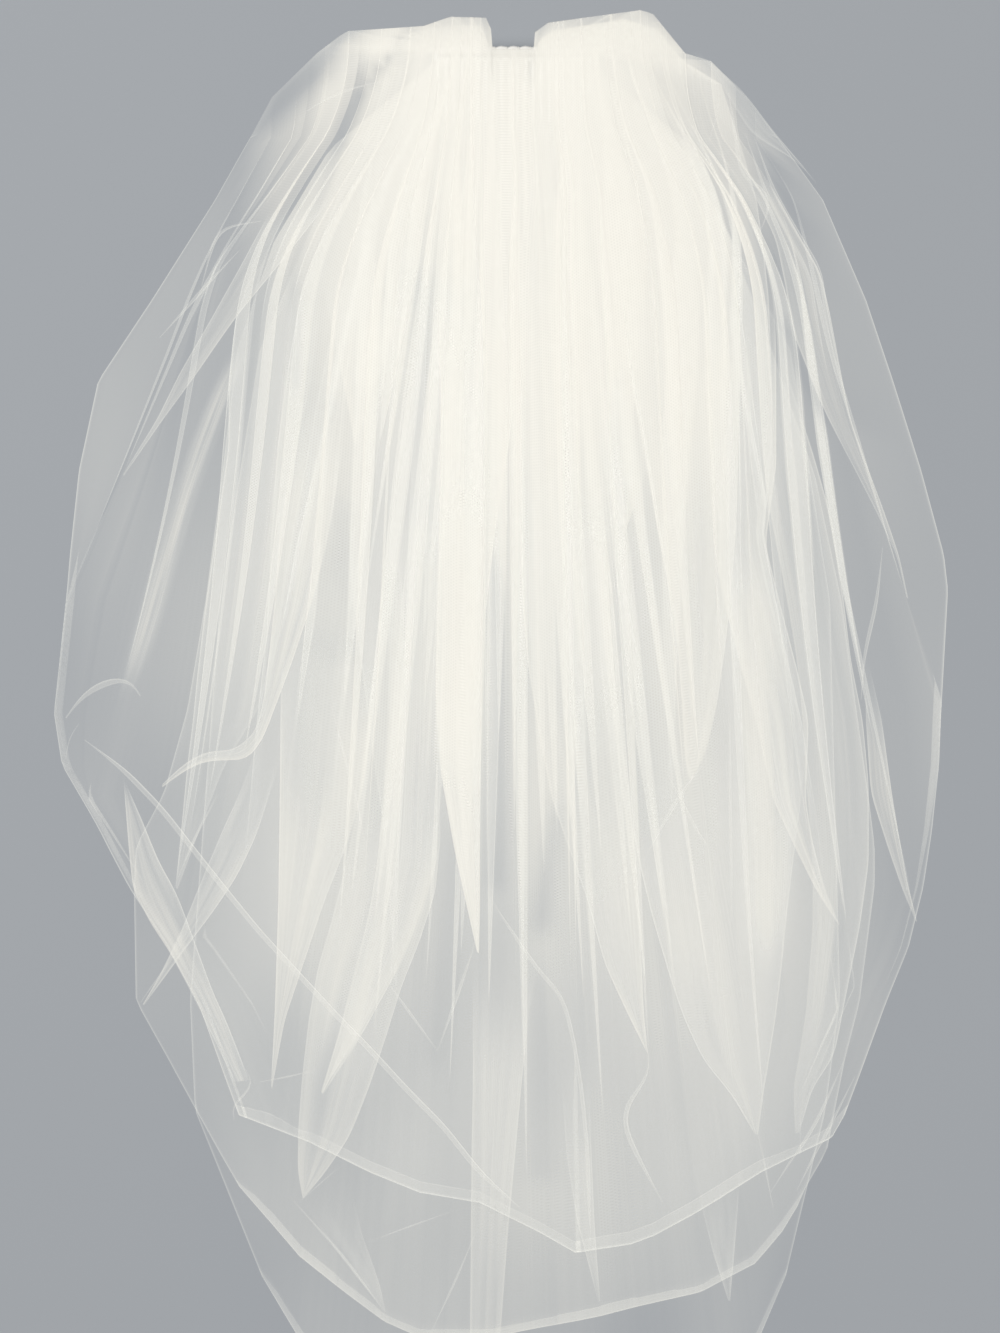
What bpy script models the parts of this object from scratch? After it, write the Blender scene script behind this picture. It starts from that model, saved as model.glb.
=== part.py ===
"""A bridal veil of tulle in three tiers, gathered on a comb and laid flat on a surface.

+Y points towards the comb, -Y towards the hems and +Z up, away from the surface that the veil lies on.
The origin is in the middle of the veil's box, on that surface. Sizes are in millimetres until a
point is placed, and metres in the scene.

From the bottom up: the comb, the under tier, the long tier, the heap of hidden folds, and the short
tier, which comes up over the gathers in two puffs with a notch between them. Each tier is a wall of
one thickness. Its lower side is worked out here, and Solidify adds the cloth above it.
"""

import bisect
import math

import bmesh
import bpy
from mathutils import Vector

MM = 0.001

# What puts the origin in the middle of the box, as the cloth's thickness leans out at its edges
CENTRING = (-0.4, -0.95, 0.0)

# Thickness and gaps of the cloth
WALL = 1.8
SEAM = 0.35
LOOSE = 0.8

# Comb and the roll of gathers that is sewn along its spine
COMB_MIDDLE = 7.5
COMB_WIDTH = 95.0
COMB_THICK = 2.4
SPINE_BACK, SPINE_FRONT = 408.6, 417.0
TOOTH_TIP = 372.0
TOOTH_COUNT = 20
TOOTH_ROOT_WIDTH, TOOTH_TIP_WIDTH = 2.2, 1.2
ROLL_WIDTH = 93.0
ROLL_ALONG = 414.3
ROLL_RADIUS = 2.5
ROLL_BUMP = 0.5
STITCH_SPACING = 7.0
STEPS_A_STITCH = 4

# Heights of the lower side of each tier where it lies flat
ON_COMB = COMB_THICK + SEAM
ROLL_TOP = ON_COMB + 2 * (ROLL_RADIUS + ROLL_BUMP)
RAMP_TOP, RAMP_FOOT = 150.0, 90.0
RIPPLE_START, RIPPLE_FULL = -150.0, -200.0
RIPPLE_MOST = 3.2

# Outline of each tier. Sections run from the comb to the corners of the hem, and a hem from left to
# right. Columns of a section: along, left edge, right edge. Columns of a hem: across, along.
SHORT_SECTIONS = (
    (362.7, -150.6, 166.2),
    (325.5, -171.6, 193.2),
    (265.5, -209.4, 219.0),
    (216.9, -241.8, 235.2),
    (163.5, -253.2, 252.0),
    (112.5, -258.6, 265.8),
    (91.5, -260.4, 268.2),
    (17.7, -268.2, 264.0),
    (-13.5, -263.4, 262.8),
    (-52.5, -240.6, 258.6),
    (-86.7, -222.6, 253.2),
    (-122.7, -199.2, 244.2),
    (-157.5, -180.6, 229.8),
    (-222.3, -156.6, 205.2),
)
SHORT_HEM = (
    (-156.6, -222.3),
    (-78.6, -256.5),
    (-12.6, -274.5),
    (44.4, -304.5),
    (83.4, -298.5),
    (155.4, -256.5),
    (205.2, -222.3),
)
LONG_SECTIONS = (
    (410.5, -36.6, 51.0),
    (355.5, -102.6, 119.4),
    (235.5, -168.6, 191.4),
    (85.5, -198.6, 221.4),
    (-85.5, -220.2, 239.4),
    (-155.1, -219.0, 221.4),
    (-189.3, -199.2, 208.2),
    (-244.5, -168.6, 196.2),
    (-265.5, -156.6, 182.4),
)
LONG_HEM = (
    (-156.6, -265.5),
    (-120.6, -307.5),
    (-69.6, -346.5),
    (-48.6, -356.1),
    (-6.6, -356.1),
    (119.4, -328.5),
    (152.4, -311.7),
    (182.4, -265.5),
)
UNDER_SECTIONS = (
    (410.5, -36.6, 51.0),
    (355.5, -93.6, 110.0),
    (235.5, -144.6, 173.4),
    (85.5, -168.6, 197.4),
    (-154.5, -186.6, 203.4),
    (-220.5, -183.6, 194.4),
    (-319.5, -143.4, 171.0),
)
UNDER_HEM = (
    (-143.4, -319.5),
    (-93.6, -394.5),
    (-48.6, -425.7),
    (11.4, -439.5),
    (71.4, -431.7),
    (119.4, -409.5),
    (171.0, -319.5),
)

# The rolled upper edge of the short tier, left puff, notch and right puff.
# Columns: share of the way across the gathers, across, along, height of the edge.
NOTCH_EDGE = ROLL_TOP + SEAM
PUFF_EDGE = (
    (0.000, -150.6, 362.7, 0.0),
    (0.060, -137.4, 387.3, 0.0),
    (0.150, -110.4, 413.7, 0.0),
    (0.200, -93.0, 426.9, 0.0),
    (0.320, -46.2, 429.9, 0.0),
    (0.380, -30.6, 435.3, 0.0),
    (0.455, -9.0, 434.7, 0.0),
    (0.470, -6.0, 428.0, 0.0),
    (0.485, -5.0, 414.6, NOTCH_EDGE),
    (0.525, 19.5, 414.6, NOTCH_EDGE),
    (0.540, 20.4, 426.0, 0.0),
    (0.560, 28.2, 431.7, 0.0),
    (0.700, 83.4, 439.5, 0.0),
    (0.730, 91.0, 437.5, 0.0),
    (0.800, 110.4, 413.7, 0.0),
    (0.850, 126.0, 408.9, 0.0),
    (0.920, 146.4, 388.5, 0.0),
    (1.000, 166.2, 362.7, 0.0),
)
PUFF_DEPTH = 32.0
EDGE_BLEND = 24.0
TOP_SPREAD = 0.26
# Rows of the rolled edge that are corners of the notch, each on a column of the tier
NOTCH_CORNERS = slice(6, 12)

# Height of the heap under the short tier, on its middle line. Columns: along, height.
CROWN = (
    (440.0, 31.0),
    (390.0, 36.0),
    (320.0, 35.0),
    (200.0, 28.0),
    (60.0, 20.0),
    (-60.0, 13.5),
    (-150.0, 7.0),
    (-220.0, 2.5),
    (-310.0, 0.5),
)
CROWN_SPREAD = 0.58
CROWN_FALL = 3.0

# Largest folds of the short tier. Each is a wedge that runs straight from the rolled edge to its tip.
# Columns: share of the way across the gathers, tip across, tip along, half width, height.
SHORT_FOLDS = (
    (0.060, -250.0, 110.0, 6.0, 2.4),
    (0.110, -227.0, 160.0, 13.0, 5.5),
    (0.165, -222.0, 37.0, 9.0, 5.0),
    (0.205, -190.0, -80.0, 11.0, 5.5),
    (0.255, -150.0, -10.0, 11.0, 6.0),
    (0.300, -122.0, -140.0, 9.0, 4.5),
    (0.345, -95.0, -120.0, 9.0, 5.0),
    (0.390, -66.0, -155.0, 8.0, 4.0),
    (0.435, -14.0, -122.0, 15.0, 7.5),
    (0.505, 8.0, -270.0, 9.0, 4.5),
    (0.550, 45.0, -260.0, 8.0, 4.5),
    (0.590, 88.0, -189.0, 15.0, 7.5),
    (0.645, 116.0, -16.0, 10.0, 5.0),
    (0.700, 154.0, -234.0, 8.0, 5.0),
    (0.745, 180.0, -60.0, 8.0, 4.5),
    (0.800, 203.0, -111.0, 9.0, 5.0),
    (0.850, 220.0, 0.0, 10.0, 6.0),
    (0.900, 249.0, -107.0, 7.0, 5.0),
    (0.945, 243.0, 87.0, 7.0, 4.5),
)
# A fold's half width at its tip, and how far its feet part again, over which length, past the tip
FOLD_FOOT = 1.6
FOLD_OPEN = 5.0
FOLD_END = 90.0
# A fold's height over its length is a sine, skewed to the comb's end and filled out
FOLD_SKEW, FOLD_FULL = 0.75, 0.6
# Width of the gathers, along the rolled edge, that one share of them stands for
GATHER_SPAN = 500.0
# Low folds between the largest ones, which fade along the tier into waves of the hem
GATHER_HEIGHT = 1.6
GATHER_START, GATHER_END = 50.0, -250.0
HEM_WAVE_FROM = 0.6
HEM_WAVE_SHARES = (0.6, 0.8, 1.0)
HEM_WAVE = 3.0
COLUMN_LEAST = 0.0062

# Ripples of the two lower tiers, which grow towards the hem.
# Columns: share across at their start, share across at the hem, half width, share of the most height.
LONG_RIPPLES = (
    (0.090, 0.075, 9.0, 0.80),
    (0.190, 0.170, 12.0, 1.00),
    (0.290, 0.285, 10.0, 0.70),
    (0.380, 0.395, 14.0, 1.00),
    (0.480, 0.500, 11.0, 0.90),
    (0.590, 0.600, 15.0, 1.00),
    (0.700, 0.720, 10.0, 0.75),
    (0.800, 0.815, 12.0, 1.00),
    (0.910, 0.920, 9.0, 0.80),
)
UNDER_RIPPLES = (
    (0.110, 0.090, 11.0, 0.90),
    (0.240, 0.215, 13.0, 1.00),
    (0.370, 0.350, 11.0, 0.80),
    (0.500, 0.490, 15.0, 1.00),
    (0.630, 0.640, 12.0, 0.85),
    (0.760, 0.780, 14.0, 1.00),
    (0.890, 0.905, 10.0, 0.90),
)

# Mean width of the lower tiers, share of the hem rows over which a ripple rises, and plain edge column
RIPPLE_SPAN = 360.0
RIPPLE_RISE = 0.4
EDGE_COLUMN = 0.03

# How a tier comes down past the edge of the one below: distance out before it falls, length of the fall
LONG_EASE = (20.0, 20.0)
SHORT_EASE = (14.0, 24.0)

# Rows of points from the gathers to the hem, as distances from the short tier's rolled edge
SHORT_ROWS = (0, 3, 8, 15, 24, 38, 60, 90, 125, 165, 210, 255, 300, 345, 390, 435, 480, 525, 570, 615)
SHORT_ROWS += (655, 690, 720)
# Rows of the lower tiers: straight ones across the veil, then shares of the way to the hem
STRAIGHT_ROWS = (410.5, 355.5, 235.5, RAMP_TOP, RAMP_FOOT, -30.0, RIPPLE_START)
HEM_ROWS = (0.12, 0.25, 0.4, 0.55, 0.7, 0.85, 1.0)

# Heap of hidden folds: where it lies in the short tier's rows and columns, and its layered edge.
HEAP_TOP, HEAP_FOOT = 404.0, -100.0
HEAP_LEFT, HEAP_RIGHT = 0.20, 0.80
HEAP_LAYERS = (1.4, 1.4, 2.8, 2.8)
HEAP_ROOM = 1.5
HEAP_LEAST = 1.0


def between(low, high, share):
    return low + (high - low) * share


def clamped(value):
    return min(max(value, 0.0), 1.0)


def eased(value):
    value = clamped(value)
    return value * value * (3 - 2 * value)


def read(rows, key, column):
    """The value of a table's column at a key in its first column, with straight lines between rows."""
    if rows[0][0] > rows[-1][0]:
        rows = rows[::-1]
    keys = [row[0] for row in rows]
    place = min(max(bisect.bisect_right(keys, key), 1), len(rows) - 1)
    before, after = rows[place - 1], rows[place]
    share = clamped((key - before[0]) / (after[0] - before[0]))
    return between(before[column], after[column], share)


def across_at(sections, along, share):
    return between(read(sections, along, 1), read(sections, along, 2), share)


def plain_material(name, colour, roughness, metallic=0.0):
    material = bpy.data.materials.new(name)
    material.use_nodes = True
    shader = material.node_tree.nodes["Principled BSDF"]
    shader.inputs["Base Color"].default_value = (*colour, 1.0)
    shader.inputs["Roughness"].default_value = roughness
    shader.inputs["Metallic"].default_value = metallic
    return material


def add_object(name, data, collection, material):
    made = bpy.data.objects.new(name, data)
    data.materials.append(material)
    collection.objects.link(made)
    return made


def grid_mesh(name, columns, rows, place):
    """A grid of cells whose point in a column and row goes where place() puts it."""
    mesh = bpy.data.meshes.new(name)
    grid = bmesh.new()
    bmesh.ops.create_grid(grid, x_segments=columns - 1, y_segments=rows - 1, size=0.5)
    for point in grid.verts:
        column = round((point.co.x + 0.5) * (columns - 1))
        row = round((0.5 - point.co.y) * (rows - 1))
        point.co = Vector(place(column, row)) * MM
    bmesh.ops.recalc_face_normals(grid, faces=grid.faces)
    if sum(face.normal.z for face in grid.faces) < 0:
        bmesh.ops.reverse_faces(grid, faces=grid.faces)
    grid.to_mesh(mesh)
    grid.free()
    mesh.shade_smooth()
    return mesh


def add_cloth(made):
    """Cloth of the wall's thickness on the upper side of a sheet."""
    cloth = made.modifiers.new("cloth", "SOLIDIFY")
    cloth.thickness = WALL * MM
    cloth.offset = 1.0
    return made


def ripple_share(along):
    return clamped((RIPPLE_START - along) / (RIPPLE_START - RIPPLE_FULL))


def flat_level(along, layer):
    """Height of the lower side of a tier's flat part. The layer is 0 for the under tier, then 1 and 2."""
    on_comb = ON_COMB * clamped((along - RAMP_FOOT) / (RAMP_TOP - RAMP_FOOT))
    ripples_below = RIPPLE_MOST * layer * ripple_share(along)
    return on_comb + layer * (WALL + SEAM) + ripples_below


def overhang(sections, across, along, margin, fall):
    """1 over the tier that has these sections, and 0 well outside it."""
    top = sections[0][0]
    outside = max(read(sections, along, 1) - across, across - read(sections, along, 2), along - top, 0.0)
    return 1.0 - clamped((outside - margin) / fall)


def ripple_columns(ripples):
    """Shares across of a foot, crest and foot for each ripple, at its start and at the hem, with heights."""
    columns = [(0.0, 0.0, 0.0), (EDGE_COLUMN, EDGE_COLUMN, 0.0)]
    for start, end, half_width, height in ripples:
        reach = half_width / RIPPLE_SPAN
        columns.append((start - reach, end - reach, 0.0))
        columns.append((start, end, height))
        columns.append((start + reach, end + reach, 0.0))
    columns.extend([(1 - EDGE_COLUMN, 1 - EDGE_COLUMN, 0.0), (1.0, 1.0, 0.0)])
    return columns


def lower_tier(name, sections, hem, ripples, layer, below):
    """A tier that lies under the short one: flat at the gathers, rippled towards its hem."""
    columns = ripple_columns(ripples)
    rows = len(STRAIGHT_ROWS) + len(HEM_ROWS)

    def place(column, row):
        start, end, height = columns[column]
        if row < len(STRAIGHT_ROWS):
            along = STRAIGHT_ROWS[row]
            down = 0.0
            across = across_at(sections, along, start)
        else:
            down = HEM_ROWS[row - len(STRAIGHT_ROWS)]
            share = between(start, end, down)
            corners = sections[-1][1:]
            hem_along = read(hem, between(*corners, share), 1)
            along = between(RIPPLE_START, hem_along, down)
            across = across_at(sections, along, share)
        level = flat_level(along, layer)
        if below:
            level *= overhang(below, across, along, *LONG_EASE)
        return across, along, level + height * RIPPLE_MOST * eased(down / RIPPLE_RISE)

    return grid_mesh(name, len(columns), rows, place)


def edge_shares():
    """Share of the gathers at which each column of the short tier starts, left to right.

    Each fold has a foot, a crest and a foot, with one column between folds and one at each edge."""
    shares = [0.0]
    for number, fold in enumerate(SHORT_FOLDS):
        reach = fold[3] / GATHER_SPAN
        if number:
            shares.append(between(shares[-1], fold[0] - reach, 0.5))
        shares.extend((fold[0] - reach, fold[0], fold[0] + reach))
    shares.append(1.0)
    for corner in PUFF_EDGE[NOTCH_CORNERS]:
        nearest = min(range(len(shares)), key=lambda index: abs(shares[index] - corner[0]))
        shares[nearest] = corner[0]
    return sorted(shares)


def fold_places(fold, along):
    """Share across and height of a fold's foot, crest and other foot at one place along it."""
    root, tip_across, tip_along, half_width, height = fold
    start_across, start_along = read(PUFF_EDGE, root, 1), read(PUFF_EDGE, root, 2)
    down = (start_along - along) / (start_along - tip_along)
    middle = between(start_across, tip_across, down)
    opened = FOLD_OPEN * clamped((tip_along - along) / FOLD_END)
    half = between(half_width, FOLD_FOOT, clamped(down)) + opened
    left, right = read(SHORT_SECTIONS, along, 1), read(SHORT_SECTIONS, along, 2)
    rise = height * math.sin(math.pi * down**FOLD_SKEW) ** FOLD_FULL if 0 < down < 1 else 0.0
    return [
        [(middle - half - left) / (right - left), 0.0],
        [(middle - left) / (right - left), rise],
        [(middle + half - left) / (right - left), 0.0],
    ]


def column_places(along):
    """Shares across and heights of all columns of the short tier at one place along it."""
    near_comb = GATHER_HEIGHT * clamped((along - GATHER_END) / (GATHER_START - GATHER_END))
    near_hem = HEM_WAVE * eased((GATHER_START - along) / (GATHER_START - GATHER_END) - HEM_WAVE_FROM)
    places = [[0.0, 0.0]]
    for number, fold in enumerate(SHORT_FOLDS):
        feet = fold_places(fold, along)
        if number:
            wave = near_hem * HEM_WAVE_SHARES[number % len(HEM_WAVE_SHARES)]
            places.append([between(places[-1][0], feet[0][0], 0.5), near_comb + wave])
        places.extend(feet)
    places.append([1.0, 0.0])
    for place, before in zip(places[1:], places):
        place[0] = max(place[0], before[0] + COLUMN_LEAST)
    places[-1][0] = 1.0
    for place, after in zip(places[-2::-1], places[:0:-1]):
        place[0] = min(place[0], after[0] - COLUMN_LEAST)
    return places


def short_points():
    """Rows of points of the short tier's lower side, as (across, along, height), with the heap's room."""
    corners = SHORT_SECTIONS[-1][1:]
    _, top_left, top_right = SHORT_SECTIONS[0]
    starts = edge_shares()
    rows = []
    for distance in SHORT_ROWS:
        down = distance / SHORT_ROWS[-1]
        row = []
        for column, edge_share in enumerate(starts):
            top_across, top_along, top_height = (read(PUFF_EDGE, edge_share, k) for k in (1, 2, 3))
            guess = between(top_along, SHORT_SECTIONS[-1][0], down)
            share = column_places(guess)[column][0]
            hem_along = read(SHORT_HEM, between(*corners, share), 1)
            along = between(top_along, hem_along, down)
            share, fold = column_places(along)[column]
            top_share = (top_across - top_left) / (top_right - top_left)
            spread = eased(down / TOP_SPREAD)
            across = across_at(SHORT_SECTIONS, along, between(top_share, share, spread))
            drop = top_along - along
            rise = math.sqrt(1 - (1 - clamped(drop / PUFF_DEPTH)) ** 2)
            level = flat_level(along, 2) + LOOSE
            level *= overhang(LONG_SECTIONS, across, along, *SHORT_EASE)
            level = between(top_height, level, eased(drop / EDGE_BLEND))
            middle = abs(2 * share - 1)
            heap = read(CROWN, along, 1) * math.exp(-((middle / CROWN_SPREAD) ** CROWN_FALL))
            row.append((across, along, level + (heap + fold) * rise, share))
        rows.append(row)
    return rows


def heap_mesh(points, normals):
    """The hidden folds: one solid with a flat bottom, close under the short tier, stepped at its edge."""
    bottom = flat_level(RAMP_TOP, 2)
    middle_column = len(points[0]) // 2
    first = next(i for i, row in enumerate(points) if max(point[1] for point in row) < HEAP_TOP)
    last = max(i for i, row in enumerate(points) if row[middle_column][1] > HEAP_FOOT)
    shares = [point[3] for point in points[last]]
    left = next(i for i, share in enumerate(shares) if share >= HEAP_LEFT)
    right = max(i for i, share in enumerate(shares) if share <= HEAP_RIGHT)
    columns, rows = right - left + 1, last - first + 1

    def place(column, row):
        across, along, height, _ = points[first + row][left + column]
        inward = normals[first + row][left + column] * -HEAP_ROOM
        ring = min(column, rows - 1 - row, columns - 1 - column)
        top = height + inward.z
        if ring < len(HEAP_LAYERS):
            top = min(top, bottom + HEAP_LAYERS[ring])
        return across + inward.x, along + inward.y, max(top, bottom + HEAP_LEAST)

    mesh = grid_mesh("inner_folds", columns, rows, place)
    heap = bmesh.new()
    heap.from_mesh(mesh)
    rim = [edge for edge in heap.edges if edge.is_boundary]
    walls = bmesh.ops.extrude_edge_only(heap, edges=rim)["geom"]
    low_points = [item for item in walls if isinstance(item, bmesh.types.BMVert)]
    for point in low_points:
        point.co.z = bottom * MM
    low_edges = [item for item in walls if isinstance(item, bmesh.types.BMEdge) and item.is_boundary]
    bmesh.ops.contextual_create(heap, geom=low_edges)
    bmesh.ops.triangulate(heap, faces=heap.faces)
    bmesh.ops.recalc_face_normals(heap, faces=heap.faces)
    heap.to_mesh(mesh)
    heap.free()
    return mesh


def row_normals(points):
    """The upward normal at each point of the short tier's rows."""
    normals = []
    last_row, last_column = len(points) - 1, len(points[0]) - 1
    for i, row in enumerate(points):
        line = []
        for j, _ in enumerate(row):
            right = Vector(row[min(j + 1, last_column)][:3]) - Vector(row[max(j - 1, 0)][:3])
            down = Vector(points[min(i + 1, last_row)][j][:3]) - Vector(points[max(i - 1, 0)][j][:3])
            line.append(down.cross(right).normalized())
        normals.append(line)
    return normals


def comb_curve():
    """The comb from above: a straight spine and tapered teeth, as one flat outline."""
    left = COMB_MIDDLE - COMB_WIDTH / 2
    pitch = COMB_WIDTH / TOOTH_COUNT
    outline = [(left, SPINE_FRONT), (left, SPINE_BACK)]
    for number in range(TOOTH_COUNT):
        middle = left + (number + 0.5) * pitch
        outline.append((middle - TOOTH_ROOT_WIDTH / 2, SPINE_BACK))
        outline.append((middle - TOOTH_TIP_WIDTH / 2, TOOTH_TIP))
        outline.append((middle + TOOTH_TIP_WIDTH / 2, TOOTH_TIP))
        outline.append((middle + TOOTH_ROOT_WIDTH / 2, SPINE_BACK))
    outline.extend([(left + COMB_WIDTH, SPINE_BACK), (left + COMB_WIDTH, SPINE_FRONT)])
    curve = bpy.data.curves.new("comb", "CURVE")
    curve.dimensions = "2D"
    curve.fill_mode = "BOTH"
    curve.extrude = COMB_THICK / 2 * MM
    spline = curve.splines.new("POLY")
    spline.points.add(len(outline) - 1)
    for point, (across, along) in zip(spline.points, outline):
        point.co = (across * MM, along * MM, 0.0, 1.0)
    spline.use_cyclic_u = True
    return curve


def roll_curve():
    """The rolled and whip-stitched top edges of the tiers: a round cord that swells between stitches."""
    curve = bpy.data.curves.new("gather_roll", "CURVE")
    curve.dimensions = "3D"
    curve.bevel_depth = ROLL_RADIUS * MM
    curve.bevel_resolution = 2
    curve.use_fill_caps = True
    steps = round(ROLL_WIDTH / STITCH_SPACING) * STEPS_A_STITCH
    spline = curve.splines.new("POLY")
    spline.points.add(steps)
    for step, point in enumerate(spline.points):
        swell = abs(math.sin(math.pi * step / STEPS_A_STITCH))
        across = COMB_MIDDLE + ROLL_WIDTH * (step / steps - 0.5)
        height = ON_COMB + ROLL_RADIUS + ROLL_BUMP
        point.co = (across * MM, ROLL_ALONG * MM, height * MM, 1.0)
        point.radius = 1 + ROLL_BUMP * (2 * swell - 1) / ROLL_RADIUS
    return curve


def main():
    for old in list(bpy.data.objects):
        bpy.data.objects.remove(old)
    veil = bpy.data.collections.new("bridal_veil")
    bpy.context.scene.collection.children.link(veil)
    tulle = plain_material("tulle", (0.90, 0.89, 0.85), 0.75)
    thread = plain_material("thread", (0.88, 0.87, 0.82), 0.6)
    comb_plastic = plain_material("comb_plastic", (0.82, 0.84, 0.85), 0.25)

    middle = bpy.data.objects.new("veil_middle", None)
    middle.location = Vector(CENTRING) * MM
    veil.objects.link(middle)

    comb = add_object("comb", comb_curve(), veil, comb_plastic)
    comb.location.z = COMB_THICK / 2 * MM
    add_object("gather_roll", roll_curve(), veil, thread)

    under = lower_tier("under_tier", UNDER_SECTIONS, UNDER_HEM, UNDER_RIPPLES, 0, None)
    add_cloth(add_object("under_tier", under, veil, tulle))
    long = lower_tier("long_tier", LONG_SECTIONS, LONG_HEM, LONG_RIPPLES, 1, UNDER_SECTIONS)
    add_cloth(add_object("long_tier", long, veil, tulle))

    points = short_points()
    short = grid_mesh("short_tier", len(points[0]), len(points), lambda column, row: points[row][column][:3])
    add_cloth(add_object("short_tier", short, veil, tulle))
    add_object("inner_folds", heap_mesh(points, row_normals(points)), veil, tulle)

    for piece in veil.objects:
        if piece is not middle:
            piece.parent = middle


main()
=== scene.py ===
"""Looks of the tulle bridal veil, which lies flat and is seen from straight above.

Plan positions are in millimetres until a point is placed: +Y towards the comb, +Z up.
Each tier is a thin shell on the form of its solid, with its gathers folded into it as real pleats.
Folds that cross the gathers, and those of the layers below, are flaps of net laid on the same form.
"""

import bpy
import numpy as np
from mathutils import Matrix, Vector
from mathutils.bvhtree import BVHTree


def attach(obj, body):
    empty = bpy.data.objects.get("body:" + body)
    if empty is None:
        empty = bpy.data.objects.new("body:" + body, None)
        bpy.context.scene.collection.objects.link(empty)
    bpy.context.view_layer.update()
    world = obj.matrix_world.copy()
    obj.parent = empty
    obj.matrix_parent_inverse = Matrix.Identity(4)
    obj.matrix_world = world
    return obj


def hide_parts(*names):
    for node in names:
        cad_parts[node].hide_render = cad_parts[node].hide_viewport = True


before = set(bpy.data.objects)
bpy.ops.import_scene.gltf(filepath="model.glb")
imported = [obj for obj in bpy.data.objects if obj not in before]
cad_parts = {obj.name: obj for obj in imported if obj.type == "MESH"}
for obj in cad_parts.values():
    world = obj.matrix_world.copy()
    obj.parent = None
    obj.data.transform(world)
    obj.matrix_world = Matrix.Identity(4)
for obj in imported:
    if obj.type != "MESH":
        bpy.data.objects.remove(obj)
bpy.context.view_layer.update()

MM = 0.001
MIDDLE = np.array([-0.4, -0.95, 0.0])

# Thickness and gaps of the cloth's solids, and the height of a shell in its wall
WALL = 1.8
SEAM = 0.35
LOOSE = 0.8
IN_WALL = 1.0

# Comb, roll of gathers and notch
COMB_MIDDLE = 7.5
COMB_THICK = 2.4
SPINE_BACK, SPINE_FRONT = 408.6, 417.0
ROLL_WIDTH = 93.0
ROLL_ALONG = 414.3
ROLL_RADIUS = 2.5
ROLL_BUMP = 0.5
ON_COMB = COMB_THICK + SEAM
ROLL_TOP = ON_COMB + 2 * (ROLL_RADIUS + ROLL_BUMP)
RAMP_TOP, RAMP_FOOT = 150.0, 90.0
RIPPLE_START, RIPPLE_FULL = -150.0, -200.0
RIPPLE_MOST = 3.2
NOTCH_EDGE = ROLL_TOP + SEAM

# Outlines. Columns of a section: along, left edge, right edge. Columns of a hem: across, along.
SHORT_SECTIONS = (
    (362.7, -150.6, 166.2), (325.5, -171.6, 193.2), (265.5, -209.4, 219), (216.9, -241.8, 235.2),
    (163.5, -253.2, 252), (112.5, -258.6, 265.8), (91.5, -260.4, 268.2), (17.7, -268.2, 264),
    (-13.5, -263.4, 262.8), (-52.5, -240.6, 258.6), (-86.7, -222.6, 253.2), (-122.7, -199.2, 244.2),
    (-157.5, -180.6, 229.8), (-222.3, -156.6, 205.2),
)
SHORT_HEM = (
    (-156.6, -222.3), (-114.6, -238.5), (-78.6, -256.5), (-48.6, -268.5), (-12.6, -274.5), (23.4, -292.5),
    (44.4, -304.5), (83.4, -298.5), (119.4, -279.3), (155.4, -256.5), (179.4, -244.5), (197.4, -236),
    (205.2, -222.3),
)
LONG_SECTIONS = (
    (410.5, -36.6, 51), (355.5, -102.6, 116), (300, -136, 138), (235.5, -158, 162), (160, -167, 188),
    (85.5, -177, 204), (20, -188, 213), (-30, -202, 220), (-62, -219, 224), (-85.5, -220.2, 224),
    (-155.1, -219, 215), (-189.3, -199.2, 206), (-244.5, -168.6, 195), (-265.5, -156.6, 182.4),
)
LONG_HEM = (
    (-156.6, -265.5), (-120.6, -307.5), (-93.6, -328.5), (-69.6, -346.5), (-48.6, -356.1), (-6.6, -356.1),
    (59.4, -343), (119.4, -328.5), (152.4, -311.7), (173.4, -286), (182.4, -265.5),
)
UNDER_SECTIONS = (
    (410.5, -36.6, 51), (355.5, -93.6, 110), (235.5, -144.6, 173.4), (85.5, -168.6, 197.4),
    (-154.5, -186.6, 203.4), (-220.5, -183.6, 194.4), (-319.5, -143.4, 171),
)
UNDER_HEM = (
    (-143.4, -319.5), (-120.6, -358), (-93.6, -394.5), (-48.6, -425.7), (11.4, -439.5), (71.4, -431.7),
    (119.4, -409.5), (150, -368), (171, -319.5),
)

# Rolled upper edge of the short tier. Columns: share of the gathers, across, along, height.
PUFF_EDGE = (
    (0, -150.6, 362.7, 0), (0.06, -137.4, 387.3, 0), (0.15, -110.4, 413.7, 0), (0.2, -93, 426.9, 0),
    (0.32, -46.2, 429.9, 0), (0.38, -30.6, 435.3, 0), (0.455, -9, 434.7, 0), (0.47, -6, 428, 0),
    (0.485, -5, 414.6, NOTCH_EDGE), (0.525, 19.5, 414.6, NOTCH_EDGE), (0.54, 20.4, 426, 0),
    (0.56, 28.2, 431.7, 0), (0.7, 83.4, 439.5, 0), (0.73, 91, 437.5, 0), (0.8, 110.4, 413.7, 0),
    (0.85, 126, 408.9, 0), (0.92, 146.4, 388.5, 0), (1, 166.2, 362.7, 0),
)
PUFF_DEPTH = 32.0
EDGE_BLEND = 24.0
TOP_SPREAD = 0.26
GATHER_LINE = 430.0
# Length of net that is gathered into the head
GATHERED = 500.0

# Height of the heap under the short tier. Columns: along, height.
CROWN = (
    (440, 31), (390, 36), (320, 35), (200, 28), (60, 20), (-60, 13.5), (-150, 7), (-220, 2.5),
    (-310, 0.5),
)
CROWN_SPREAD = 0.58
CROWN_FALL = 3.0

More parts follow.
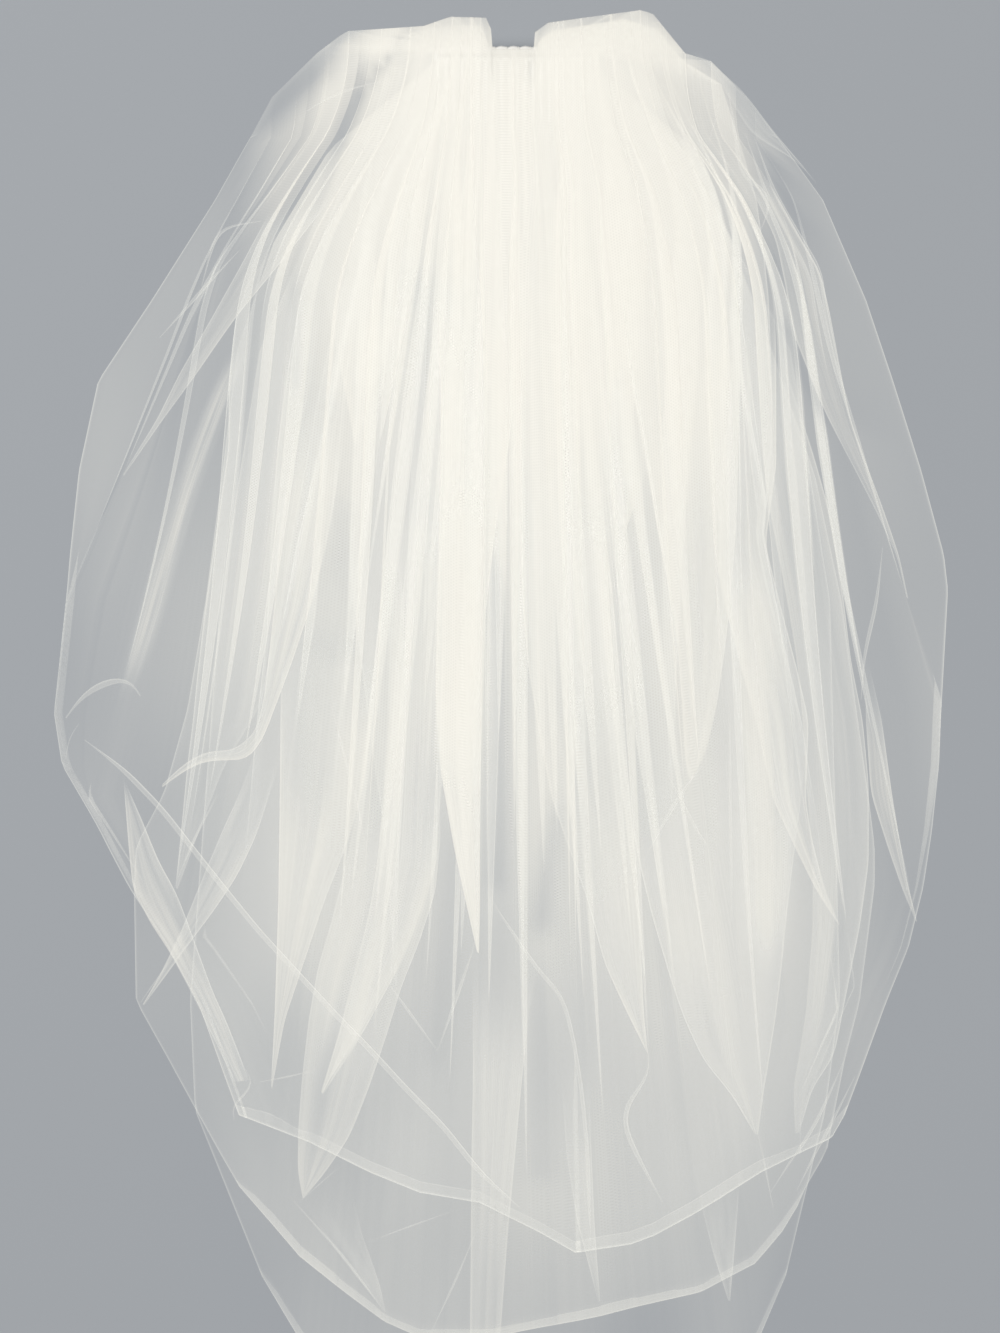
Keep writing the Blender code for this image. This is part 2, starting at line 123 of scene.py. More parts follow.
# Largest pleats of the short tier, each on a straight line from the rolled edge.
# Columns: share of the gathers, tip across, tip along, half width, height, side it laps to.
SHORT_FOLDS = (
    (0.06, -250, 110, 1.2, 0.5, -1), (0.11, -227, 160, 2, 0.8, -1), (0.165, -222, 37, 2, 0.8, -1),
    (0.205, -190, -80, 4.6, 2, -1), (0.255, -172, -40, 3.4, 1.6, 1), (0.3, -150, -10, 4.8, 2, -1),
    (0.345, -95, -120, 3.6, 1.8, -1), (0.385, -66, -155, 3, 1.6, 1), (0.425, -14, -122, 6, 2.8, 1),
    (0.505, 8, -60, 3.2, 1.6, -1), (0.575, 45, -130, 2.6, 1.4, 1), (0.61, 88, -189, 3.8, 1.8, -1),
    (0.655, 116, -16, 4.6, 2, 1), (0.7, 154, -234, 3, 1.6, 1), (0.745, 180, -60, 3.4, 1.8, -1),
    (0.8, 203, -111, 6, 2.4, 1), (0.85, 220, 0, 4, 1.5, 1), (0.9, 249, -107, 2, 0.8, 1),
    (0.945, 243, 87, 2, 0.8, 1),
)
# Columns for the lower tiers: share at the roll, share at the hem, tip along, half width, height, side.
LONG_FOLDS = (
    (0.06, 0.05, 60, 2, 1, -1), (0.12, 0.105, -60, 4, 1.5, -1), (0.19, 0.17, -110, 6, 2.4, 1),
    (0.25, 0.24, 20, 7, 2, -1), (0.31, 0.29, -150, 4, 1.8, -1), (0.38, 0.365, -130, 8, 2.2, 1),
    (0.44, 0.45, 0, 6, 2, -1), (0.5, 0.505, -190, 5, 2.2, 1), (0.56, 0.56, -80, 7, 2, 1),
    (0.62, 0.64, -160, 4, 1.8, -1), (0.69, 0.7, -70, 6, 2, 1), (0.75, 0.775, -150, 5, 2, 1),
    (0.82, 0.83, -110, 8, 2.4, -1), (0.89, 0.905, -160, 3, 1.5, 1), (0.945, 0.955, 40, 2, 1, 1),
)
UNDER_FOLDS = (
    (0.08, 0.07, -100, 5, 2, -1), (0.17, 0.15, -180, 4, 1.8, -1), (0.26, 0.25, -20, 6, 2, 1),
    (0.35, 0.33, -210, 4, 1.8, -1), (0.43, 0.42, -160, 6, 2, 1), (0.52, 0.51, -270, 4, 2, 1),
    (0.6, 0.61, -60, 6, 2, -1), (0.68, 0.69, -230, 4, 1.8, 1), (0.77, 0.79, -120, 6, 2, 1),
    (0.86, 0.88, -160, 4, 2, -1), (0.93, 0.94, 0, 5, 2, 1),
)

# The inner sheet of gathers, in the same columns as the short tier's tables
INNER_EDGE = (
    (0, -62, 419, 0.5), (0.06, -56, 425, 0.5), (0.2, -40, 428.5, 0.5), (0.33, -25, 430.5, 0.5),
    (0.44, -12, 430, 0.5), (0.46, -9.5, 424, 3), (0.478, -7.5, 413.2, NOTCH_EDGE - 1.2),
    (0.525, 21.8, 413.2, NOTCH_EDGE - 1.2), (0.542, 24, 422, 3), (0.56, 31, 427, 0.5),
    (0.7, 74, 434, 0.5), (0.8, 94, 428, 0.5), (0.9, 108, 409, 0.5), (1, 128, 395, 0.5),
)
INNER_SECTIONS = (
    (420, -62, 128), (395, -69, 132), (360, -80, 143), (325.5, -97, 153), (296, -109, 157),
    (265, -120, 160), (216, -128, 162), (178.5, -133, 162), (124.5, -137, 157), (65.7, -140, 168),
    (12.3, -146, 180), (-52.5, -152, 190), (-110, -156, 198),
)
INNER_HEM = ((-156, -110), (-100, -130), (0, -150), (100, -150), (198, -110))
INNER_FOLDS = (
    (0.05, -150, -10, 5, 1.4, -1), (0.11, -132, 60, 7, 1.8, -1), (0.17, -118, 10, 8, 2.1, 1),
    (0.235, -105, 140, 8, 2.1, -1), (0.29, -90, 20, 9, 2.1, -1), (0.35, -70, 178, 10, 2.1, 1),
    (0.4, -46, 60, 8, 1.8, -1), (0.505, 12, 20, 5, 1.4, 1), (0.59, 40, 90, 9, 2.1, 1),
    (0.64, 73, 123, 12, 2.1, -1), (0.7, 98, -40, 9, 2.1, 1), (0.76, 130, 100, 8, 2.1, -1),
    (0.82, 140, -10, 9, 2.1, 1), (0.88, 172, 40, 8, 1.8, 1), (0.94, 190, -60, 6, 1.4, 1),
)
INNER_NOTCH = (0.44, 0.45, 0.46, 0.469, 0.478, 0.488, 0.522, 0.53, 0.542, 0.551, 0.56)
INNER_SINK = 3.5

# Small pleats of each sheet. Columns: count, seed, lowest and highest tip along, widest half width, lowest
# tip at the sides, shares of the gathers between which there is none.
SHORT_SMALL = (26, 11, -150, 280, 4.2, 220, (0.45, 0.555))
INNER_SMALL = (26, 17, 40, 300, 4.2, 60, (0.43, 0.57))
LONG_SMALL = (13, 23, -160, 250, 4, 60)
UNDER_SMALL = (11, 37, -200, 200, 4, 60)
STRAY, SMALL_LEAST, SMALL_HEIGHTS, SMALL_FINE, SMALL_APART = 0.35, 1.4, (0.5, 1.7), 0.45, 0.006
# Shares of the way out at which they end sooner, get fewer and stop
SIDE_SOONER, SIDE_FEWER, SIDE_STOP = 0.62, 0.72, 0.9
SIDE_NARROW, SIDE_SCATTER = 0.6, 120

# Edges of the zone where the gathers lie close. Columns: along, left edge, right edge.
ZONE = (
    (440, -82, 96), (400, -110, 140), (362, -152, 162), (325.5, -158, 166), (247.5, -156.6, 163),
    (178.5, -164, 162), (109.5, -173.4, 158), (65.7, -178.2, 170), (12.3, -186, 182),
    (-52.5, -190.8, 192), (-118.5, -195.6, 200),
)
# How far its core slopes in from its edges, far from the comb and near it, and the ramp between the two
CORE_LEFT, CORE_RIGHT, NEAR_COMB = (85, 24), (65, 22), (150, 220)
ZONE_FADE, ZONE_SHARE, CORE_SHARE = 9, 0.16, 0.84
# Thickness of a layer to light outside the zone, and how much more in it.
# Columns: along, short tier, long tier, under tier.
SHEER = (0.17, 0.15, 0.075)
CLOSE = (
    (440, 0.28, 0.2, 0.2), (430, 0.46, 0.2, 0.2), (418, 0.95, 0.26, 0.26), (400, 1, 0.26, 0.26),
    (350, 0.62, 0.38, 0.36), (270, 0.42, 0.35, 0.33), (200, 0.3, 0.24, 0.24), (85, 0.21, 0.19, 0.19),
    (0, 0.17, 0.2, 0.2), (-100, 0.04, 0.18, 0.2), (-200, 0.02, 0.12, 0.13), (-300, 0, 0.12, 0.06),
)
# The inner sheet's thickness, its share at the sides, and how far the core slopes in from them
INNER_CLOSE = (
    (440, 0.55), (430, 0.65), (418, 1.15), (400, 1.2), (350, 0.88), (250, 0.7), (190, 0.38), (85, 0.2),
    (25, 0.16), (-40, 0.07), (-110, 0),
)
INNER_SIDE, INNER_CORE = 0.3, (90, 70)
# The layers are drawn closer towards the right. Columns: start across, width, how much more.
DRAWN_LEAST = 0.82
DRAWN = ((-250, 300, 0.18), (190, 40, 0.3))
# Streaks of finer and coarser gathers. Columns: reach in columns of a sheet, strength.
STREAKS, STREAK_STATIONS = ((1, 0.5), (3, 0.9), (9, 1.2)), 5
# Ramps along: streaks grow towards the comb, and the light lines of lower tiers and inner sheet end
STREAKS_RAMP, LOWER_LINES_END, INNER_LINES_END = (-250, 500), (120, 200), (-110, 120)
# Drifts in how close the net lies: number of waves, and usual sizes across and along
CLOUD_WAVES, CLOUD_SIZE = 14, (26, 60)

# Slits between the gathers, with less net. Each: how much less, and rows of along, across, half width.
SLITS = (
    (0.6, ((428, -55, 4), (405, -68.4, 4), (388, -82, 4.5), (369, -92, 5), (331, -105, 5),
        (307, -116.4, 4.5), (279, -124.2, 4), (213, -122, 3))),
    (0.35, ((205, -101, 3), (181, -99, 3))),
    (0.4, ((141, -92, 3.5), (109, -93.6, 4.5), (52, -90, 5))),
    (0.3, ((102, -105, 3), (52, -103, 3))),
    (0.28, ((277, -47.7, 8), (133, -47.7, 9))),
    (0.4, ((110, -4, 3), (85, -3, 6), (25, -1, 9), (-50, -2, 9), (-85, -3, 8))),
    (0.75, ((416, 17.6, 1.2), (404, 17.8, 1.4), (392, 17.6, 1))),
    (0.35, ((221, 68, 4.5), (165, 68, 4.5), (130, 72, 3))),
    (0.55, ((250, 170, 3), (225, 179, 5), (197, 192, 6))),
    (0.5, ((363, 158, 3.5), (331, 169, 4.5), (304, 185, 5), (264, 199, 6), (193, 216, 6))),
    (0.4, ((-40, 33, 5), (-110, 24, 8))),
    (0.26, ((-140, 23, 4), (-206, 24, 10), (-260, 24, 12))),
    (0.15, ((-60, -28, 5), (-190, -40, 8))),
)
# How far a slit runs past its first and last row, and the length over which it fades
SLIT_PAST, SLIT_FADE = 12, 18

# One pleat across, from the left, when it laps to the right.
# Columns: place in half widths, step in from a turn, share of the height, light line of the turn.
PLEAT = (
    (-1.12, 0, 0, 0),
    (-0.5, 0, 0.85, 0),
    (0.35, 0, 1, 0),
    (1, 1, 0.8, 0),
    (1, 0, 0.55, 1),
    (1, 1, 0.35, 0),
    (0, 0, 0.3, 0),
    (-1, -1, 0.22, 0),
    (-1, 0, 0.12, 0.7),
    (-1, -1, 0.05, 0),
    (0, 0, 0, 0),
    (1.12, 0, 0, 0),
)
SMALL_PLEAT = tuple(PLEAT[i] for i in (0, 2, 3, 4, 5, 7, 8, 9, 11))
PLAIN = ((0.0, 0, 0.0, 0.0),)
NO_TIP = -999.0
TURN = 0.7
# Largest share of the gathers without a column, and shares at which one keeps the corners of the notch
WIDEST_GAP = 0.02
NOTCH_COLUMNS = (0.455, 0.463, 0.47, 0.475, 0.48, 0.485, 0.49, 0.52, 0.525, 0.53, 0.535, 0.54, 0.548, 0.56)
# Where the gathers leave the roll. Columns: share of the gathers, across.
ROLL_PLACES = ((0, -37), (0.455, -6.5), (0.485, -4.8), (0.505, 7.5), (0.525, 19.3), (0.56, 21), (1, 52))
# Rows that are tucked in, as shares of the way from roll to rolled edge, and their heights there
TUCKED = (0.0, 0.2, 0.4, 0.6, 0.8, 0.95)
TUCK_HEIGHT, TUCK_LEAST = 7.0, 0.5
# Edge of a sheet. Columns: distance in from the edge, light line.
BORDER = ((0.0, 1.0), (0.7, 0.3), (1.5, 0.0), (5.0, 0.0))
# Turn of a hem. Columns: share of its depth, how far under the sheet, light line.
HEM_TURN = ((0.06, 0.35, 0.5), (0.12, 0.5, 0.0), (0.55, 0.5, 0.0), (0.93, 0.45, 0.0), (1.0, 0.4, 0.8))
SHORT_HEM_DEPTH, LOWER_HEM_DEPTH = 6.5, 5.0

# How far the gathers swing out past the straight line below the comb, and where along a fold most
SWING, SWING_PLACE = 33.0, 0.22
# Ramps of the swing from the middle out, and down again towards the edges
SWING_IN, SWING_OUT = (0.15, 0.3), (0.8, -0.15)
# Least room between large pleats near the comb and near the hem, and the ramp between the two
ROOM, ROOM_RAMP = (0.9, 6.5), (60, -280)

# Pleats: how they open down their run and taper, are drawn in away from the middle, and fill their gap
OPEN_LEAST, OPENS, TAPER, TAPER_POWER = 0.22, (0.06, 0.34), 0.5, 0.9
ASIDE, ASIDE_DRAWN, ASIDE_RUN = (0.3, 0.25), 0.65, 0.45
BESIDE, GAP_FILLED, TURN_SHARE = 0.008, 1.3, 0.35
# Run-out past a tip, and how far a pleat's columns spread there
RUN_OUT, SPREAD, SPREAD_PAST, SPREAD_SHARE = 90, 0.25, 3.5, 0.3
# Height of a pleat, and the light lines of its turns
RISE_LEAST, RISE_RUN, RISE_POWER, STEEPEST, TURN_HEIGHT, LAYERS = 0.45, 0.3, 0.75, 0.4, 0.1, 0.25
LINE_WIDTH, LINE_NARROW, LINE_TOP, LINE_RUN, LINE_FULL, LINE_LEAST = 0.4, 0.35, 0.12, 0.4, 6, 0.15

# How often a row is moved until across and along agree, and the width below which pleats are narrower
SETTLED, FULL_WIDTH = 4, 300
# Unevenness of the heap, and its two waves. Columns: length across, length along.
UNEVEN, UNEVEN_WAVES = 0.7, ((23, 61), (-90, 47))
# How far a sheet keeps its height past the edge of the one below, and over what width it comes down
SHORT_DROOP, LOWER_DROOP = (14, 24), (20, 20)
# Ripples of the lower tiers: share of the height, lengths across and along, and room for pleats
RIPPLE_SHARE, RIPPLE_ACROSS, RIPPLE_ALONG, RIPPLE_ROOM = 0.45, 11, 70, (0.8, 3.0)
# Share of the upright in a normal
UPRIGHT = 2.4

# Rows of a sheet from the rolled edge of its puffs, and the length of its run
NEAR_EDGE = (0, 0.6, 1.6, 3.2, 5.5, 8.5, 12, 16.5, 22, 29, 37, 46)
SHORT_RUN, INNER_RUN = 720.0, 545.0
SHORT_LAST = (718, 719.2, SHORT_RUN)
# Rows of the lower tiers, as shares of the way from roll to hem
STEPS = np.concatenate([np.linspace(0, 0.9985, 92), [1.0]])

# Folds that are given on a plan with these millimetres a step, and the middle of that plan
PLAN_STEP = 0.6
PLAN_MIDDLE = (501.0, 742.5)
# Folds that cross the gathers or show through from below. Each: density, light line left and right, lift,
# crown, and stations of y, left x, right x and, where it isn't level, how much further down the right is.
INNER_FLAPS = (
    (0.2, 0.9, 0.2, -2, 1, ((240, 262, 330), (323, 236, 320), (387, 230, 312), (446, 230, 300, -6),
        (521, 219, 284), (609, 206, 276, -8), (676, 198, 268, -16), (718, 194, 262, -13), (765, 188, 225),
        (827, 182, 200, 3), (887, 176, 178, 2))),
    (0.42, 0.5, 0.8, -1.6, 1, ((387, 308, 352), (430, 297, 345, 10), (484, 290, 338, 6),
        (534, 281, 329, 6), (601, 276, 314, -1), (655, 270, 294, 5), (700, 265, 279), (733, 256, 264, 6),
        (750, 235, 248, 10), (751, 207, 207, 9), (763, 185, 186, 7), (784, 163, 163, 3))),
    (0.28, 0.6, 0.7, -1, 0.6, ((735, 262, 288), (790, 242, 270, 5), (826, 225, 257, 9),
        (866, 208, 238, 9), (900, 194, 216, 8), (928, 183, 195, 8), (975, 160, 164, 3),
        (1004, 143, 144, 1))),
    (0.42, 0.9, 0.5, -1, 0.8, ((640, 284, 372), (700, 282, 375), (780, 281, 366), (843, 280, 348),
        (900, 279, 325), (960, 277, 305), (1020, 275, 285), (1084, 272, 273, 3))),
    (0.34, 0.4, 0.6, -0.8, 0.6, ((760, 372, 440, 20), (812, 357, 441, 22), (870, 345, 436, 20),
        (921, 332, 420, 19), (968, 318, 402, 17), (1020, 309, 385, 20), (1075, 303, 368, 15),
        (1127, 299, 350, 8), (1170, 298, 325, 2), (1196, 303, 304, 1))),
    (0.95, 0.6, 0.9, -1.4, 1.2, ((280, 439, 530), (380, 441, 517), (467, 442, 506), (548, 439, 494, -8),
        (640, 437, 485, -20), (700, 436, 483), (770, 441, 481), (850, 455, 480), (905, 467, 480),
        (950, 477, 479, 2))),
    (0.34, 1, 1, -1.4, 1.2, ((450, 512, 600), (540, 520, 604), (600, 522, 608), (660, 527, 613, 12),
        (740, 540, 622, 10), (799, 552, 629, 1), (840, 566, 634, 4), (901, 588, 638), (962, 604, 641),
        (1010, 626, 643), (1048, 645, 647, 4))),
    (0.5, 0.9, 0.3, -1.8, 1, ((280, 622, 735), (374, 630, 738), (430, 641, 737), (521, 654, 735),
        (575, 665, 731), (640, 676, 725), (704, 681, 716), (760, 684, 704, -5), (778, 688, 690, 2))),
    (0.22, 1, 0.5, -1, 0.8, ((713, 613, 798, 7), (774, 626, 803), (847, 635, 794), (914, 651, 786),
        (978, 670, 780), (1016, 683, 775), (1058, 702, 768), (1093, 731, 762), (1131, 753, 757, 2))),
    (0.5, 0.1, 0.8, -2.2, 0.8, ((280, 700, 772), (347, 703, 775), (467, 708, 775), (545, 712, 764),
        (600, 722, 778), (668, 740, 796), (720, 755, 808), (799, 772, 805), (838, 790, 811),
        (889, 815, 824), (924, 838, 839, 1))),
    (0.24, 0, 0.8, -1.6, 0.6, ((347, 740, 777), (454, 760, 812), (521, 770, 831), (601, 786, 843),
        (660, 796, 850), (720, 802, 862), (783, 806, 868), (863, 812, 868), (927, 812, 859),
        (1007, 806, 843), (1055, 798, 833), (1086, 792, 811), (1131, 794, 798))),
    (0.32, 0.6, 1, -0.4, 0.8, ((655, 864, 866), (720, 865, 881), (793, 870, 891), (847, 887, 900),
        (890, 902, 908, -2), (920, 915, 917, 2))),
    (0.18, 0.5, 0.6, -1, 0.6, ((1060, 560, 588), (1150, 566, 591), (1220, 577, 594), (1300, 598, 600))),
    (0.16, 0.4, 0.6, -1, 0.6, ((1150, 690, 740), (1200, 700, 738), (1250, 712, 734), (1300, 728, 730))),
    (0.16, 0.5, 0.4, -1, 0.6, ((1195, 300, 350, -15), (1240, 330, 362, -8), (1285, 365, 380, -3),
        (1310, 385, 386, 1))),
    (0.55, 0.3, 0.3, -1.2, 0.8, ((262, 318, 416), (300, 326, 408), (350, 338, 390), (410, 350, 370),
        (446, 356, 357))),
    (0.45, 0.5, 0.5, -1.2, 0.8, ((400, 590, 656), (450, 598, 649), (484, 606, 641), (515, 615, 630),
        (537, 622, 623))),
    (0.3, 0.6, 0.6, -1.2, 0.6, ((640, 558, 590), (690, 562, 585), (750, 566, 577), (818, 569, 570))),
    (0.16, 0.6, 0.4, -1.2, 0.8, ((500, 350, 400), (580, 352, 402), (660, 362, 408), (740, 372, 402),
        (830, 385, 400), (990, 396, 397, 2))),
    (0.42, 0.3, 0.2, -1.2, 0.8, ((480, 392, 440), (600, 391, 440), (720, 389, 439), (800, 384, 438),
        (860, 378, 438), (910, 370, 420, 5), (960, 358, 400, 5), (1030, 340, 362, 4),
        (1090, 322, 324, 2))),
    (0.9, 0, 0, -1.2, 0.8, ((430, 430, 494), (560, 430, 494), (660, 430, 490), (740, 432, 487),
        (800, 438, 484))),
    (0.65, 0, 0, -1.2, 0.8, ((520, 712, 775), (620, 710, 790), (700, 712, 800), (780, 718, 806),
        (850, 722, 806), (920, 728, 800), (990, 735, 790))),
    (0.26, 0.4, 0.4, -1.2, 0.8, ((959, 473, 537, 9), (1007, 473, 529), (1086, 473, 521), (1131, 472, 517),
        (1230, 471, 508), (1340, 470, 500), (1420, 474, 476, 2))),
)
TOP_FLAPS = (
    (0.26, 0.7, 0.8, 0.4, 1.6, ((215, 270, 330, -10), (265, 243, 290, -10), (322, 211, 237, -3),
        (376, 179, 199, -3), (420, 157, 163), (475, 123, 124, 1))),
    (0.5, 0, 0, 0.3, 1.6, ((340, 232, 262), (396, 208, 238), (445, 188, 220), (500, 168, 202),
        (560, 150, 184), (622, 132, 166), (676, 118, 146, 4), (700, 112, 136, 4))),
    (0.32, 0.6, 1, 0.4, 1.2, ((779, 124, 125, 1), (815, 127, 141), (862, 131, 160), (890, 134, 176),
        (922, 150, 187, -4), (950, 169, 197, -4), (985, 188, 213, 5), (1022, 207, 228), (1052, 222, 240),
        (1080, 236, 250, -2))),
    (0.28, 0.6, 0.9, 0.5, 1.2, ((180, 745, 767, -1), (240, 775, 800, -2), (290, 785, 820, -18),
        (334, 792, 829, -24), (400, 818, 843, -15), (425, 830, 850, -5), (470, 854, 868), (512, 876, 884),
        (556, 897, 899), (597, 906, 908, 2))),
    (0.14, 0.3, 0.9, 0.5, 0.8, ((52, 690, 697), (66, 711, 735, 17), (92, 725, 750, 8),
        (134, 751, 774, -2), (163, 799, 803, 3), (182, 815, 817, 2))),
)
# Narrow pinched folds. Each: light line, width in millimetres, and x and y of its points in turn.
CREASES = (
    (1, 3.2, 85, 740, 126, 771, 163, 809, 194, 849, 229, 893, 260, 931, 297, 971, 335, 1012, 372, 1049,
        410, 1090, 444, 1124, 480, 1170, 520, 1205),
    (0.6, 5, 66, 718, 79, 699, 94, 687, 116, 679, 132, 677, 141, 696),
    (0.4, 1.8, 66, 759, 69, 734, 79, 724),
    (0.9, 2.4, 247, 1068, 260, 1077, 247, 1093, 225, 1109, 235, 1118),
    (0.9, 2.2, 260, 1080, 290, 1075, 316, 1068),
    (0.8, 1.8, 141, 1002, 169, 962),
    (0.8, 2.2, 219, 793, 194, 840, 179, 877),
    (0.5, 1.4, 332, 702, 360, 812, 369, 859),
    (0.9, 2.2, 385, 977, 438, 1049),
    (0.9, 2.4, 475, 940, 472, 952, 438, 1049),
    (0.8, 2.2, 489, 895, 537, 968, 562, 994, 572, 1032, 581, 1086, 587, 1150, 590, 1240),
    (1, 2.8, 647, 1050, 651, 1067, 639, 1086, 624, 1102, 623, 1125, 640, 1160, 662, 1200),
    (1, 2.6, 706, 758, 677, 796, 645, 854),
    (0.9, 2.2, 664, 768, 696, 831, 715, 857),
    (0.4, 1.4, 728, 704, 729, 800, 731, 927),
    (0.9, 2.2, 882, 548, 876, 601, 863, 655, 860, 700),
    (0.5, 1.5, 614, 548, 625, 601, 635, 655, 640, 720),
    (0.5, 1.4, 710, 542, 716, 601, 726, 668),
    (0.8, 2.4, 240, 252, 211, 281, 160, 338),
    (0.8, 2.6, 262, 223, 240, 225, 218, 228, 210, 255, 202, 287),
    (0.5, 1.4, 370, 1240, 410, 1225, 450, 1210),
    (0.5, 1.4, 290, 1195, 345, 1255, 385, 1310),
    (0.5, 1.4, 300, 1200, 340, 1165),
    (0.5, 1.4, 478, 1225, 455, 1280, 430, 1333),
    (0.5, 1.6, 716, 84, 722, 100, 712, 130, 708, 145),
    (0.9, 2.6, 728, 92, 733, 120, 738, 165, 742, 182, 768, 190, 770, 210, 758, 235),
    (0.8, 2.2, 853, 1075, 830, 1120, 796, 1188),
    (0.8, 2, 842, 1060, 815, 1120, 770, 1190),
    (0.7, 1.8, 757, 1133, 764, 1165, 772, 1205),
    (0.7, 1.8, 300, 300, 297, 345, 297, 387),
    (0.8, 2.2, 754, 137, 773, 191, 799, 236, 821, 271, 824, 303, 837, 367, 850, 420),
    (0.7, 2, 745, 134, 764, 191, 790, 240, 810, 276, 814, 310, 826, 370),
    (0.7, 1.8, 684, 127, 700, 150, 716, 179),
    (0.8, 1.8, 521, 360, 521, 500, 521, 655),
    (0.8, 1.8, 622, 307, 630, 382, 641, 430, 651, 494, 662, 561, 667, 601, 678, 668, 680, 704),
    (0.8, 2.4, 383, 88, 358, 90, 330, 98, 307, 112),
)
# First seeds of the flaps, and the lengths over which they come up out of the gathers
INNER_SEED, TOP_SEED = 100, 200
INNER_START, TOP_START = 80, 24
# Points beside a flap's edges: distance in, largest share of the width
FLAP_BORDER = ((0.7, 0.2), (1.5, 0.35))
FLAP_COLUMNS, FLAP_STEP, FLAP_STREAKS = 22, 8, 0.24
# Lengths over which light lines fade at a flap's ends, and a flap without lines
LINE_FADE, SOFT_FADE = 12, 50
CREASE_DENSITY, CREASE_LIFT, CREASE_CROWN = 0.22, 0.7, 0.9
CREASE_STEP, CREASE_TAPER = 7, 60
FEWEST_ROWS = 6

# Net: radians a metre of its mesh, how much that thins it, what a light line stops, and its tones
NET_WAVE, NET_DEPTH, LINE_STOPS = 4200.0, 0.04, 0.5
SINGLE_TONE, CLOSE_TONE = (0.93, 0.935, 0.885), (0.955, 0.93, 0.85)
THREAD_TONE = (0.93, 0.91, 0.86)
COMB_TONE = (0.86, 0.88, 0.88)
FLOOR_TONE = (0.365, 0.385, 0.41)
BUMP_DEPTH = 0.0004

# Whip stitches. The turn round the roll: first and last angle, and how many points.
STITCH_SPACING, STITCH_SLANT, STITCH_FOOT = 7.0, 2.4, 0.5
STITCH_TURN = (-60, 235, 13)
THREAD_RADIUS, OFF_SPINE = 0.3, 0.1


def eased(value):
    value = np.clip(value, 0.0, 1.0)
    return value * value * (3 - 2 * value)


def ramp(value, start, reach):
    """0 at the start and 1 after the reach, which is negative when it rises the other way."""
    return eased((value - start) / reach)


def between(low, high, share):
    return low + (high - low) * share


def read(rows, key, column=1):
    rows = sorted(rows)
    return np.interp(key, [row[0] for row in rows], [row[column] for row in rows])


def edges_at(sections, along):
    """Left and right edge of an outline."""
    return read(sections, along, 1), read(sections, along, 2)


def zone(across, along):
    """1 where the gathers lie close and 0 outside."""
    left, right = edges_at(ZONE, along)
    out = ZONE_FADE / 3
    inside = eased((across - left + out) / ZONE_FADE) * eased((right - across + out) / ZONE_FADE)
    near = ramp(along, *NEAR_COMB)
    core = ramp(across, left, between(*CORE_LEFT, near)) * ramp(across, right, -between(*CORE_RIGHT, near))
    return ZONE_SHARE * inside + CORE_SHARE * core


def slits(across, along):
    """Share of the net that is left where the gathers part."""
    left = 1.0
    for strength, rows in SLITS:
        low, high = rows[-1][0], rows[0][0]
        window = eased((along - low + SLIT_PAST) / SLIT_FADE) * eased((high + SLIT_PAST - along) / SLIT_FADE)
        aside = (across - read(rows, along, 1)) / read(rows, along, 2)
        left = left * (1 - strength * window * np.exp(-(aside**2)))
    return left


def layer_thickness(across, along, tier):
    drawn = DRAWN_LEAST
    for start, width, more in DRAWN:
        drawn = drawn + more * ramp(across, start, width)
    close = zone(across, along) * read(CLOSE, along, tier + 1)
    return (SHEER[tier] * drawn + close) * slits(across, along)


def lying_free(along):
    """0 under the heap and 1 where the lower tiers lie free and ripple."""
    return np.clip((RIPPLE_START - along) / (RIPPLE_START - RIPPLE_FULL), 0, 1)


def flat_level(along, layer):
    on_comb = ON_COMB * np.clip((along - RAMP_FOOT) / (RAMP_TOP - RAMP_FOOT), 0, 1)
    return on_comb + layer * (WALL + SEAM) + RIPPLE_MOST * layer * lying_free(along)


def overhang(sections, across, along, margin, fall):
    """1 over the sheet below, and down to 0 past its edge."""
    left, right = edges_at(sections, along)
    outside = np.maximum(left - across, across - right)
    outside = np.maximum(np.maximum(outside, along - sections[0][0]), 0.0)
    return 1.0 - np.clip((outside - margin) / fall, 0, 1)


def small_folds(folds, count, seed, low, high, widest, side_low, clear=(2.0, 2.0)):
    """Small pleats between the large ones. Columns: share, tip along, half width, height, side."""
    dice = np.random.default_rng(seed)
    taken = np.array([row[0] for row in folds])
    rows = []
    for number in range(count):
        root = (number + 0.5 + dice.uniform(-STRAY, STRAY)) / count
        tip = dice.uniform(low, high)
        half = dice.uniform(SMALL_LEAST, widest) * SMALL_FINE
        height = dice.uniform(*SMALL_HEIGHTS) * SMALL_FINE
        side = dice.choice((-1, 1))
        out = abs(2 * root - 1)
        if out > SIDE_SOONER:
            tip = max(tip, side_low + dice.uniform(0, SIDE_SCATTER))
            half *= SIDE_NARROW
        left_out = out > SIDE_STOP or (out > SIDE_FEWER and number % 3) or clear[0] < root < clear[1]
        if np.abs(taken - root).min() > SMALL_APART and not left_out:
            rows.append((root, tip, half, height, side))
    return rows


